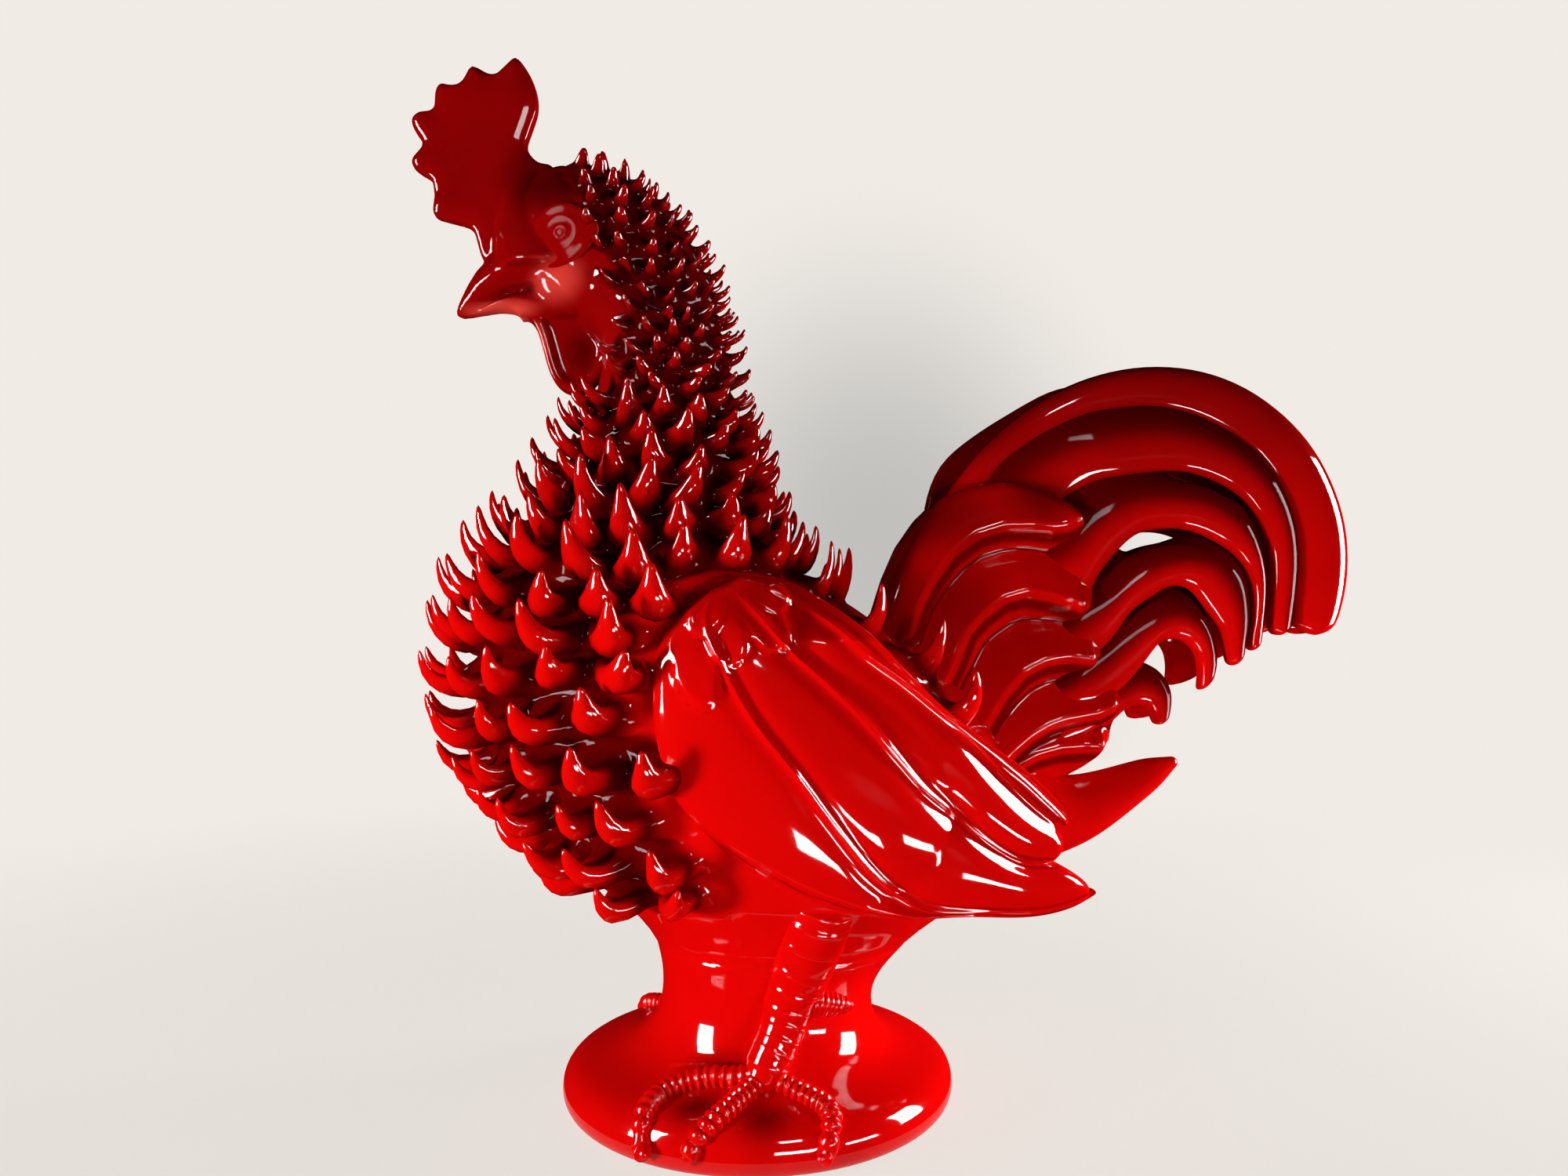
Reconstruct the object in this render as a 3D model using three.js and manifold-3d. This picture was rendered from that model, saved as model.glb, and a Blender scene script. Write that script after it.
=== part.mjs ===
// Ceramic cockerel on a round foot, built up from thrown, rolled and pinched clay pieces.
// Frame: millimetres, +Z up, beak toward -X, origin at the centre of the flat underside of the foot.
// Each table holds shares of figureHeight unless its note says otherwise.
import * as THREE from "three";
import Module from "manifold-3d";

const wasm = await Module();
wasm.setup();
const { Manifold, Mesh } = wasm;

// Driving dimensions.
const figureHeight = 427;
const wallThickness = 7;
const footFloorThickness = 8;
const ventRadius = 4;
const ventOffset = 24;
const seamGap = 0.4;
const carveGap = 0.4;
const lowSpikeLength = 27;
const chestSpikeLength = 23;
const collarSpikeLength = 15;
const neckSpikeLength = 11;
const headSpikeLength = 9.4;
const combThickness = 10;
const combEdgeInset = 2.2;
const combEdgeRound = 2.6;
const wattleThickness = 11;
const wattleEdgeInset = 3;
const wattleEdgeRound = 3;
const eyeRadius = 9;
const eyeRise = 1.5;
const pupilRadius = 2.2;
const lidRadius = 5.2;
const tailWall = 6;
const tailMidGap = 0.2;
const wingBodyOverlap = 8;
const wingEdgeRise = 1.6;
const wingCrown = 5.5;
const wingFeatherRise = 3.6;
const wingRearSpread = 66;
const scapularRise = 1.8;
const legScuteRise = 0.7;
const toeRadius = 3;
const toeScuteRise = 0.5;
const toeTipRadius = 1.5;
const spurRadius = 5.6;
const spurTipRadius = 2.6;
const tidyTolerance = 0.12;

// Skin of body, neck and head as level sections: height, front edge, rear edge, half width.
const skinShares = [
  [0.1405, -0.0948, 0.1335, 0.1089], [0.1546, -0.0974, 0.1452, 0.1148],
  [0.1639, -0.103, 0.1593, 0.1194], [0.1813, -0.1159, 0.1827, 0.1311],
  [0.1967, -0.1347, 0.2014, 0.1429], [0.2131, -0.1557, 0.2178, 0.1522],
  [0.2365, -0.1803, 0.2319, 0.1616], [0.267, -0.2073, 0.2436, 0.1698],
  [0.3044, -0.233, 0.2459, 0.1756], [0.3466, -0.2588, 0.2342, 0.178],
  [0.3864, -0.2705, 0.2061, 0.1768], [0.4239, -0.2728, 0.1639, 0.1733],
  [0.4567, -0.2681, 0.1171, 0.1663], [0.4848, -0.2611, 0.0773, 0.1569],
  [0.5059, -0.2529, 0.0492, 0.1452], [0.5293, -0.2412, 0.0281, 0.1311],
  [0.5574, -0.2213, 0.0129, 0.1148], [0.5855, -0.1991, 0.0037, 0.1007],
  [0.6183, -0.1815, -0.0047, 0.089], [0.6511, -0.1651, -0.0138, 0.0785],
  [0.6815, -0.1534, -0.019, 0.0714], [0.7143, -0.1487, -0.0241, 0.0679],
  [0.74, -0.1616, -0.0297, 0.0691], [0.7635, -0.185, -0.0358, 0.0738],
  [0.7869, -0.2037, -0.0436, 0.0773], [0.8103, -0.2155, -0.0529, 0.0787],
  [0.8337, -0.2213, -0.0667, 0.0761], [0.8548, -0.2201, -0.0831, 0.0691],
  [0.8735, -0.2131, -0.1042, 0.0562], [0.8876, -0.2026, -0.1311, 0.0386],
  [0.8946, -0.1909, -0.1546, 0.0211],
];
// Foot and stem: height, middle along X, radius.
const stemShares = [
  [0, 0, 0.1639], [0.0028, 0, 0.1745], [0.0094, 0, 0.1838], [0.0211, 0, 0.1874],
  [0.0328, 0, 0.185], [0.0422, 0, 0.178], [0.0482, 0, 0.1651], [0.0515, 0.0007, 0.1475],
  [0.0562, 0.0019, 0.1311], [0.0644, 0.0037, 0.1171], [0.0749, 0.0056, 0.1087],
  [0.089, 0.0075, 0.103], [0.103, 0.0091, 0.1012], [0.1171, 0.0117, 0.103],
  [0.1335, 0.0164, 0.1089], [0.1546, 0.0239, 0.1213],
];
// Seam heights between foot, body, neck and head.
const seamShares = { foot: 0.1546, neck: 0.5527, head: 0.7307 };
// Bands of the skin, each one row of spikes high: lower height, upper height; with counts round.
const bodyBandShares = [
  [0.1555, 0.1803], [0.1835, 0.2008], [0.2035, 0.2212], [0.2243, 0.2439], [0.2472, 0.268],
  [0.2716, 0.294], [0.2977, 0.3204], [0.3241, 0.3476], [0.3516, 0.3773], [0.3816, 0.4081],
  [0.4125, 0.439], [0.4432, 0.4692], [0.4734, 0.4984], [0.5023, 0.5259], [0.5296, 0.5527],
];
const bodyBandCounts = [22, 23, 26, 28, 30, 30, 30, 30, 30, 30, 30, 27, 25, 22, 22];
const neckBandShares = [
  [0.5536, 0.5756], [0.579, 0.5993], [0.6026, 0.6224], [0.6256, 0.6447], [0.6478, 0.6668],
  [0.6698, 0.6883], [0.6913, 0.7092], [0.7121, 0.7307],
];
const neckBandCounts = [22, 20, 22, 20, 21, 19, 18, 18];
const headBandShares = [
  [0.7316, 0.7494], [0.7521, 0.7684], [0.771, 0.7871], [0.7897, 0.8056], [0.8081, 0.8232],
  [0.8255, 0.8398], [0.842, 0.8552], [0.8572, 0.8689], [0.8707, 0.8799], [0.8812, 0.8888],
];
const headBandCounts = [20, 22, 23, 24, 24, 23, 21, 19, 16, 12];
// Front limit of the bare face and throat: height, the X behind which spikes stand.
const faceLimitShares = [
  [0.5527, -0.3513], [0.6698, -0.3513], [0.6792, -0.1405], [0.7119, -0.1358], [0.7447, -0.1405],
  [0.7728, -0.1452], [0.808, -0.1546], [0.8431, -0.1593], [0.8712, -0.1686], [0.897, -0.178],
];
// Rear limit of the chest spikes, where the wing begins: height, X.
const wingLimitShares = [
  [0.1405, -0.0796], [0.2108, -0.0796], [0.2623, -0.0937], [0.3044, -0.1171], [0.3513, -0.1265],
  [0.4215, -0.1311], [0.4637, -0.1218], [0.4871, -0.0937], [0.5012, -0.0609], [0.5129, 0.1405],
  [0.5621, 0.1405],
];
// Spiked strip of the back: lowest height, and the nearest and farthest share from the middle plane.
const backShares = { low: 0.37, full: 0.4754, inner: 0.0726, outer: 0.1101 };

// Outlines in the middle plane: X, Z.
const combShares = [
  [-0.1897, 0.8712], [-0.1932, 0.8958], [-0.2052, 0.8984], [-0.2133, 0.9047], [-0.2183, 0.9157],
  [-0.2131, 0.9321], [-0.2075, 0.9508], [-0.2082, 0.9663], [-0.2155, 0.9845], [-0.2279, 0.9998],
  [-0.2368, 0.9927], [-0.2487, 0.9817], [-0.26, 0.9859], [-0.2703, 0.9897], [-0.2768, 0.9773],
  [-0.2848, 0.9698], [-0.2998, 0.9717], [-0.3042, 0.9595], [-0.3052, 0.9466], [-0.3197, 0.9433],
  [-0.3262, 0.9351], [-0.3208, 0.9234], [-0.3141, 0.9131], [-0.3206, 0.9052], [-0.3265, 0.8946],
  [-0.3166, 0.8857], [-0.3068, 0.8796], [-0.3044, 0.8628], [-0.3059, 0.8466], [-0.2923, 0.8415],
  [-0.2705, 0.8351], [-0.2646, 0.8208], [-0.259, 0.8044], [-0.2412, 0.7916], [-0.2155, 0.7963],
  [-0.1967, 0.8244],
];
const wattleShares = [
  [-0.2295, 0.7553], [-0.2166, 0.7494], [-0.2089, 0.7382], [-0.2042, 0.7237], [-0.2005, 0.7096],
  [-0.1958, 0.6951], [-0.1888, 0.6845], [-0.1801, 0.6789], [-0.1698, 0.6775], [-0.1604, 0.6806],
  [-0.1504, 0.6909], [-0.1424, 0.7073], [-0.1405, 0.726], [-0.1452, 0.7447], [-0.1639, 0.7635],
  [-0.1967, 0.7705],
];
// Beak sections: X, lower Z, upper Z, half width.
const upperBeakShares = [
  [-0.2848, 0.7504, 0.7574, 0.0037], [-0.2815, 0.7489, 0.7658, 0.0075],
  [-0.274, 0.7518, 0.7813, 0.0126], [-0.2646, 0.7564, 0.7963, 0.0187],
  [-0.2506, 0.7639, 0.8091, 0.0269], [-0.2319, 0.7728, 0.8185, 0.0356],
  [-0.2084, 0.7752, 0.8244, 0.0433], [-0.1827, 0.7728, 0.8244, 0.0445],
];
const lowerBeakShares = [
  [-0.2787, 0.7475, 0.7508, 0.0037], [-0.2728, 0.7489, 0.7527, 0.007],
  [-0.26, 0.7525, 0.7588, 0.0131], [-0.2447, 0.756, 0.7667, 0.0201],
  [-0.2272, 0.756, 0.7733, 0.0281], [-0.2108, 0.7482, 0.7763, 0.0363],
  [-0.1874, 0.74, 0.7752, 0.0398],
];
const eyeShares = { x: -0.1815, z: 0.8145 };
// Rear point: X, middle Z, radius.
const rearPointShares = [
  [0.192, 0.2646, 0.0796], [0.2225, 0.2658, 0.0691], [0.2529, 0.266, 0.0567],
  [0.2857, 0.2651, 0.045], [0.3162, 0.2677, 0.0361], [0.3466, 0.2787, 0.0286],
  [0.3747, 0.2918, 0.022], [0.3981, 0.3028, 0.0169], [0.4122, 0.3091, 0.0122],
  [0.4204, 0.3129, 0.0066],
];
// Wing lines from shoulder to tip: X, Z.
const wingLineShares = [
  [
    [-0.0539, 0.4871], [-0.0749, 0.4672], [-0.0937, 0.4415], [-0.0991, 0.4028], [-0.0948, 0.356],
    [-0.0796, 0.3126], [-0.0445, 0.2717], [0.007, 0.2365], [0.0585, 0.2131], [0.1124, 0.2033],
    [0.1686, 0.2009], [0.2295, 0.1944], [0.2693, 0.1963], [0.2951, 0.2052],
  ],
  [
    [-0.0492, 0.4902], [-0.0562, 0.4614], [-0.0445, 0.4286], [-0.0187, 0.3817], [0.0164, 0.3365],
    [0.0468, 0.2951], [0.082, 0.2518], [0.1143, 0.2241], [0.1405, 0.2119], [0.1874, 0.2061],
    [0.2459, 0.2014], [0.296, 0.2084],
  ],
  [
    [-0.0398, 0.4941], [-0.0187, 0.4754], [0.0131, 0.4379], [0.0438, 0.4098], [0.0749, 0.3794],
    [0.103, 0.3466], [0.1265, 0.3197], [0.1546, 0.2958], [0.1874, 0.2681], [0.2201, 0.2482],
    [0.2548, 0.2426],
  ],
  [
    [-0.0304, 0.4988], [0.0047, 0.4871], [0.0513, 0.459], [0.0796, 0.4333], [0.1171, 0.4059],
    [0.1686, 0.3602], [0.2014, 0.3255], [0.2354, 0.2944], [0.2588, 0.2775],
  ],
  [
    [-0.0248, 0.5016], [0.0197, 0.4948], [0.0398, 0.4848], [0.0667, 0.4667], [0.0867, 0.4501],
    [0.1077, 0.4286], [0.144, 0.3923], [0.1756, 0.3665], [0.2068, 0.3443], [0.2377, 0.3218],
    [0.2623, 0.2986], [0.2717, 0.2857],
  ],
];
// Scapular feathers on the shoulder: start X, start Z, end X, end Z, half width.
const scapularShares = [
  [-0.0726, 0.452, -0.0553, 0.3925, 0.0169], [-0.0468, 0.4684, -0.0319, 0.4258, 0.0169],
  [-0.0187, 0.4824, 0.0084, 0.4379, 0.0164], [-0.0515, 0.4871, -0.0609, 0.4496, 0.0141],
  [-0.0141, 0.4941, 0.0141, 0.4719, 0.0126],
];
// Tail feathers: X, Z along the outer edge, then along the inner edge, root to tip.
// Depths are distances from the middle plane at the outer edge, the crest and the inner edge.
const tailFeatherShares = [
  {
    outer: [
      [0.1619, 0.5309], [0.1715, 0.5598], [0.1874, 0.5851], [0.213, 0.6165], [0.2364, 0.6411],
      [0.2598, 0.6603], [0.2892, 0.6799], [0.3287, 0.6987], [0.3683, 0.7095], [0.4013, 0.7136],
      [0.4416, 0.7117], [0.478, 0.7025], [0.51, 0.6876], [0.5407, 0.6654], [0.565, 0.6403],
      [0.5831, 0.6133], [0.5971, 0.5822], [0.605, 0.5547], [0.6079, 0.5253], [0.6065, 0.4961],
      [0.6002, 0.4677], [0.5906, 0.4494], [0.5826, 0.4407],
    ],
    inner: [
      [0.2436, 0.5199], [0.2342, 0.5621], [0.2342, 0.5995], [0.2571, 0.6218], [0.2876, 0.6412],
      [0.326, 0.6588], [0.3646, 0.6665], [0.3937, 0.6684], [0.426, 0.6642], [0.4532, 0.6541],
      [0.4827, 0.6384], [0.508, 0.6178], [0.5265, 0.592], [0.5386, 0.5618], [0.5433, 0.5337],
      [0.5443, 0.5145], [0.5422, 0.4956], [0.5391, 0.4604], [0.5471, 0.4412],
    ],
    depths: [0.0211, 0.0293, 0.0246],
    stations: 17,
    rim: true,
  },
  {
    outer: [
      [0.2014, 0.5246], [0.2037, 0.5621], [0.2178, 0.5995], [0.2506, 0.6276], [0.2857, 0.6475],
      [0.326, 0.6651], [0.3646, 0.6684], [0.3937, 0.6707], [0.426, 0.6665], [0.4532, 0.6564],
      [0.4827, 0.6407], [0.508, 0.6201], [0.5276, 0.5937], [0.5412, 0.5618], [0.5459, 0.5337],
      [0.5466, 0.5145], [0.5445, 0.4956], [0.541, 0.4684], [0.534, 0.4438],
    ],
    inner: [
      [0.2904, 0.5199], [0.2998, 0.5621], [0.3246, 0.5871], [0.3457, 0.5965], [0.363, 0.5993],
      [0.3843, 0.6019], [0.4094, 0.604], [0.433, 0.6021], [0.4525, 0.5958], [0.4721, 0.5864],
      [0.4878, 0.5754], [0.5033, 0.5527], [0.5129, 0.5244], [0.5136, 0.4958], [0.5103, 0.4674],
      [0.5101, 0.4485], [0.5176, 0.4393],
    ],
    depths: [0.0293, 0.0398, 0.0316],
    stations: 13,
    rim: false,
  },
  {
    outer: [
      [0.2763, 0.5246], [0.3044, 0.5621], [0.3326, 0.5878], [0.363, 0.5986], [0.3864, 0.5986],
      [0.4028, 0.5972], [0.4173, 0.5963], [0.4368, 0.5932], [0.4564, 0.5871], [0.4778, 0.5738],
      [0.4941, 0.5539], [0.5049, 0.5246], [0.5077, 0.4958], [0.5054, 0.466], [0.5035, 0.445],
      [0.5002, 0.4286],
    ],
    inner: [
      [0.2904, 0.459], [0.3215, 0.4789], [0.3349, 0.5012], [0.3546, 0.5253], [0.374, 0.5419],
      [0.3956, 0.5457], [0.4169, 0.5466], [0.4361, 0.5419], [0.452, 0.5344], [0.4714, 0.5232],
      [0.485, 0.5059], [0.4911, 0.4862], [0.4904, 0.459], [0.4857, 0.4391], [0.4862, 0.4244],
    ],
    depths: [0.0351, 0.0445, 0.034],
    stations: 10,
    rim: false,
  },
  {
    outer: [
      [0.2857, 0.459], [0.3138, 0.4801], [0.3349, 0.4918], [0.3536, 0.5073], [0.37, 0.5199],
      [0.3902, 0.5293], [0.4155, 0.5335], [0.4422, 0.5304], [0.4595, 0.5248], [0.4754, 0.5129],
      [0.4867, 0.4932], [0.489, 0.459], [0.4848, 0.4356], [0.481, 0.4169],
    ],
    inner: [
      [0.2998, 0.4122], [0.3279, 0.4215], [0.3482, 0.4424], [0.3644, 0.4649], [0.3869, 0.4801],
      [0.4002, 0.489], [0.411, 0.4904], [0.4215, 0.4885], [0.4307, 0.4801], [0.4433, 0.463],
      [0.4546, 0.4466], [0.4595, 0.4215], [0.4651, 0.4089],
    ],
    depths: [0.0363, 0.0468, 0.0351],
    stations: 9,
    rim: false,
  },
  {
    outer: [
      [0.2951, 0.4122], [0.3232, 0.4309], [0.3466, 0.4496], [0.3677, 0.4651], [0.3817, 0.4735],
      [0.3948, 0.4778], [0.4082, 0.4794], [0.4255, 0.4761], [0.4389, 0.4651], [0.4492, 0.4473],
      [0.4534, 0.4262], [0.4529, 0.4098], [0.4459, 0.3934],
    ],
    inner: [
      [0.3044, 0.37], [0.3326, 0.3747], [0.3583, 0.3934], [0.3799, 0.4192], [0.3892, 0.4326],
      [0.4014, 0.4379], [0.4105, 0.4386], [0.4211, 0.4333], [0.429, 0.4225], [0.4319, 0.407],
      [0.43, 0.3855],
    ],
    depths: [0.0363, 0.0468, 0.0351],
    stations: 8,
    rim: false,
  },
  {
    outer: [
      [0.2951, 0.3747], [0.3232, 0.3934], [0.3513, 0.4087], [0.3785, 0.4152], [0.389, 0.4126],
      [0.3993, 0.4056], [0.4073, 0.3927], [0.4091, 0.382], [0.407, 0.3667], [0.4019, 0.3578],
    ],
    inner: [
      [0.2951, 0.3372], [0.3185, 0.3419], [0.3419, 0.3548], [0.356, 0.3677], [0.3677, 0.3742],
      [0.3761, 0.3738], [0.3817, 0.3686], [0.3864, 0.3583], [0.3911, 0.3532],
    ],
    depths: [0.0328, 0.0433, 0.0316],
    stations: 7,
    rim: false,
  },
  {
    outer: [
      [0.1077, 0.4403], [0.1194, 0.4708], [0.1284, 0.4989], [0.1429, 0.5316], [0.1621, 0.5585],
      [0.1831, 0.5786], [0.2074, 0.5893], [0.2396, 0.5934], [0.2638, 0.5905], [0.2965, 0.5822],
      [0.3217, 0.5711],
    ],
    inner: [
      [0.1546, 0.4262], [0.1593, 0.4614], [0.1733, 0.4895], [0.192, 0.5141], [0.2155, 0.5304],
      [0.24, 0.5386], [0.2658, 0.5396], [0.2857, 0.5375], [0.2998, 0.534],
    ],
    depths: [0.0258, 0.0492, 0.0398],
    stations: 9,
    rim: true,
  },
  {
    outer: [
      [0.1311, 0.4169], [0.1422, 0.4527], [0.1532, 0.4829], [0.1735, 0.5164], [0.2047, 0.5405],
      [0.2361, 0.5513], [0.2674, 0.5504], [0.296, 0.5466],
    ],
    inner: [
      [0.1967, 0.3888], [0.2084, 0.4215], [0.2272, 0.4473], [0.2482, 0.4625], [0.267, 0.4649],
      [0.2834, 0.459], [0.2974, 0.452],
    ],
    depths: [0.0445, 0.0585, 0.0468],
    stations: 8,
    rim: false,
  },
  {
    outer: [
      [0.1733, 0.3794], [0.1827, 0.4052], [0.1881, 0.4286], [0.1979, 0.4522], [0.2197, 0.4719],
      [0.2433, 0.4841], [0.2623, 0.4878], [0.2827, 0.4838], [0.3021, 0.4754], [0.3126, 0.4649],
    ],
    inner: [
      [0.2201, 0.3419], [0.2319, 0.3653], [0.2506, 0.3852], [0.2693, 0.3981], [0.2881, 0.404],
      [0.3091, 0.4028],
    ],
    depths: [0.0468, 0.0621, 0.0492],
    stations: 7,
    rim: false,
  },
  {
    outer: [
      [0.2014, 0.3466], [0.2204, 0.374], [0.2304, 0.3864], [0.2454, 0.4021], [0.2639, 0.4166],
      [0.2874, 0.4234], [0.3068, 0.423], [0.3244, 0.4169],
    ],
    inner: [
      [0.2295, 0.3044], [0.2459, 0.3232], [0.2646, 0.3372], [0.2857, 0.3454], [0.3068, 0.3489],
      [0.3302, 0.3513],
    ],
    depths: [0.0468, 0.0597, 0.0468],
    stations: 6,
    rim: false,
  },
  {
    outer: [
      [0.2201, 0.3091], [0.2415, 0.3358], [0.2635, 0.3515], [0.2869, 0.3595], [0.3119, 0.3621],
      [0.3302, 0.3611], [0.3454, 0.3548],
    ],
    inner: [
      [0.2342, 0.2717], [0.2482, 0.2904], [0.267, 0.3044], [0.2857, 0.3126], [0.3044, 0.3162],
      [0.3185, 0.3176],
    ],
    depths: [0.0422, 0.0515, 0.0375],
    stations: 5,
    rim: false,
  },
];
// Leg: X, Y, Z, radius down the near side. Toes: X, Y over the foot.
const legShares = [
  [0.0539, -0.1311, 0.2155, 0.0269], [0.0492, -0.1265, 0.1967, 0.0262],
  [0.041, -0.1171, 0.1639, 0.0253], [0.0328, -0.1089, 0.1429, 0.0234],
  [0.0258, -0.1066, 0.1241, 0.0192], [0.0176, -0.1077, 0.1054, 0.0164],
  [0.0082, -0.1101, 0.089, 0.0159], [0, -0.1136, 0.0749, 0.0169],
  [-0.007, -0.1171, 0.0609, 0.0155],
];
const toeShares = [
  [
    [-0.0047, -0.1171], [-0.0281, -0.1171], [-0.0515, -0.1112], [-0.0749, -0.1101],
    [-0.096, -0.1194], [-0.1089, -0.1405], [-0.1101, -0.1557], [-0.1077, -0.1639],
  ],
  [
    [-0.007, -0.1194], [-0.0258, -0.1382], [-0.0422, -0.1569], [-0.0585, -0.1698],
    [-0.0738, -0.1745],
  ],
  [
    [-0.0047, -0.1171], [0.0117, -0.1265], [0.0281, -0.137], [0.0422, -0.1511], [0.048, -0.1663],
    [0.0433, -0.1815], [0.0363, -0.1883],
  ],
];
const spurShares = { start: [0.0328, -0.1112, 0.1253], end: [0.0714, -0.1089, 0.1194] };

// Reading a table: smooth values between its rows, keyed by the first column.
function smoothTable(rows) {
  const slopeAt = (i, c) => {
    const a = rows[Math.max(0, i - 1)];
    const b = rows[Math.min(rows.length - 1, i + 1)];
    return (b[c] - a[c]) / (b[0] - a[0]);
  };
  return (key) => {
    let i = 0;
    while (i < rows.length - 2 && key > rows[i + 1][0]) i++;
    const a = rows[i];
    const b = rows[i + 1];
    const span = b[0] - a[0];
    const t = Math.min(1, Math.max(0, (key - a[0]) / span));
    return a.slice(1).map((value, k) => {
      const c = k + 1;
      const t2 = t * t;
      const t3 = t2 * t;
      return (
        (2 * t3 - 3 * t2 + 1) * value +
        (t3 - 2 * t2 + t) * span * slopeAt(i, c) +
        (3 * t2 - 2 * t3) * b[c] +
        (t3 - t2) * span * slopeAt(i + 1, c)
      );
    });
  };
}

function straightTable(rows) {
  return (key) => {
    let i = 0;
    while (i < rows.length - 2 && key > rows[i + 1][0]) i++;
    const a = rows[i];
    const b = rows[i + 1];
    const t = Math.min(1, Math.max(0, (key - a[0]) / (b[0] - a[0])));
    return a.slice(1).map((value, k) => value + t * (b[k + 1] - value));
  };
}

// Points evenly spaced along a smooth line through the given rows of shares.
function evenLine(rows, count) {
  const path = new THREE.CatmullRomCurve3(
    rows.map((row) => new THREE.Vector3(row[0], row[1], row[2] ?? 0)),
    false,
    "centripetal",
  );
  return path
    .getSpacedPoints(count - 1)
    .map((p) => [p.x * figureHeight, p.y * figureHeight, p.z * figureHeight]);
}

const skinAt = smoothTable(skinShares);
const stemAt = smoothTable(stemShares);
const faceLimitAt = straightTable(faceLimitShares);
const wingLimitAt = straightTable(wingLimitShares);

// Level section of the skin at a height, grown outward by a length.
function section(z, grow) {
  const [front, rear, half] = skinAt(z / figureHeight);
  return {
    middle: ((front + rear) / 2) * figureHeight,
    along: ((rear - front) / 2) * figureHeight + grow,
    across: half * figureHeight + grow,
  };
}

function skinPoint(angle, z, grow) {
  const s = section(z, grow);
  return [s.middle + s.along * Math.cos(angle), s.across * Math.sin(angle), z];
}

// Distance of the skin from the middle plane at X, Z.
function skinHalf(x, z) {
  const s = section(z, 0);
  const q = 1 - ((x - s.middle) / s.along) ** 2;
  return q > 0 ? s.across * Math.sqrt(q) : 0;
}

// Collects points and triangles of one closed piece.
class Clay {
  constructor() {
    this.points = [];
    this.faces = [];
  }
  add(p) {
    this.points.push(p);
    return this.points.length - 1;
  }
  ring(list) {
    return list.map((p) => this.add(p));
  }
  face(a, b, c) {
    this.faces.push([a, b, c]);
  }
  // Strip between two closed rings with any number of points each.
  strip(low, high) {
    const n = low.length;
    const m = high.length;
    const p = low.map((i) => this.points[i]);
    const q = high.map((i) => this.points[i]);
    const away = (a, b) => Math.hypot(a[0] - b[0], a[1] - b[1], a[2] - b[2]);
    let shift = 0;
    for (let k = 1; k < m; k++) {
      if (away(p[0], q[k]) < away(p[0], q[shift])) shift = k;
    }
    let i = 0;
    let j = 0;
    while (i < n || j < m) {
      const a = low[i % n];
      const b = high[(j + shift) % m];
      const nextA = low[(i + 1) % n];
      const nextB = high[(j + 1 + shift) % m];
      const stepLow = away(this.points[nextA], this.points[b]);
      const stepHigh = away(this.points[a], this.points[nextB]);
      if (j >= m || (i < n && stepLow <= stepHigh)) {
        this.face(a, nextA, b);
        i++;
      } else {
        this.face(a, nextB, b);
        j++;
      }
    }
  }
  fan(ring, tip) {
    ring.forEach((a, i) => this.face(a, ring[(i + 1) % ring.length], tip));
  }
  cap(ring, facing) {
    const centre = [0, 1, 2].map((c) => ring.reduce((s, i) => s + this.points[i][c], 0) / ring.length);
    const tip = this.add(centre);
    const order = facing > 0 ? ring : [...ring].reverse();
    this.fan(order, tip);
  }
  solid() {
    let volume = 0;
    for (const [a, b, c] of this.faces) {
      const p = new THREE.Vector3(...this.points[a]);
      const q = new THREE.Vector3(...this.points[b]);
      const r = new THREE.Vector3(...this.points[c]);
      volume += p.dot(q.cross(r));
    }
    const faces = volume < 0 ? this.faces.map(([a, b, c]) => [a, c, b]) : this.faces;
    const mesh = new Mesh({
      numProp: 3,
      vertProperties: new Float32Array(this.points.flat()),
      triVerts: new Uint32Array(faces.flat()),
    });
    return new Manifold(mesh);
  }
}

function joined(solids) {
  return solids.reduce((a, b) => a.add(b));
}

// The largest body of a cut piece; slivers left by a cut are dropped.
function largest(solid) {
  const bodies = solid.simplify(tidyTolerance).decompose();
  return bodies.reduce((a, b) => (a.volume() > b.volume() ? a : b));
}

function mirrored(solid) {
  return solid.mirror([0, 1, 0]);
}

// Length of a spike by the height it stands at.
const spikeLengthAt = straightTable([
  [0.1546, lowSpikeLength],
  [0.3513, chestSpikeLength],
  [0.534, collarSpikeLength],
  [0.6674, neckSpikeLength],
  [0.808, headSpikeLength],
]);

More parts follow.
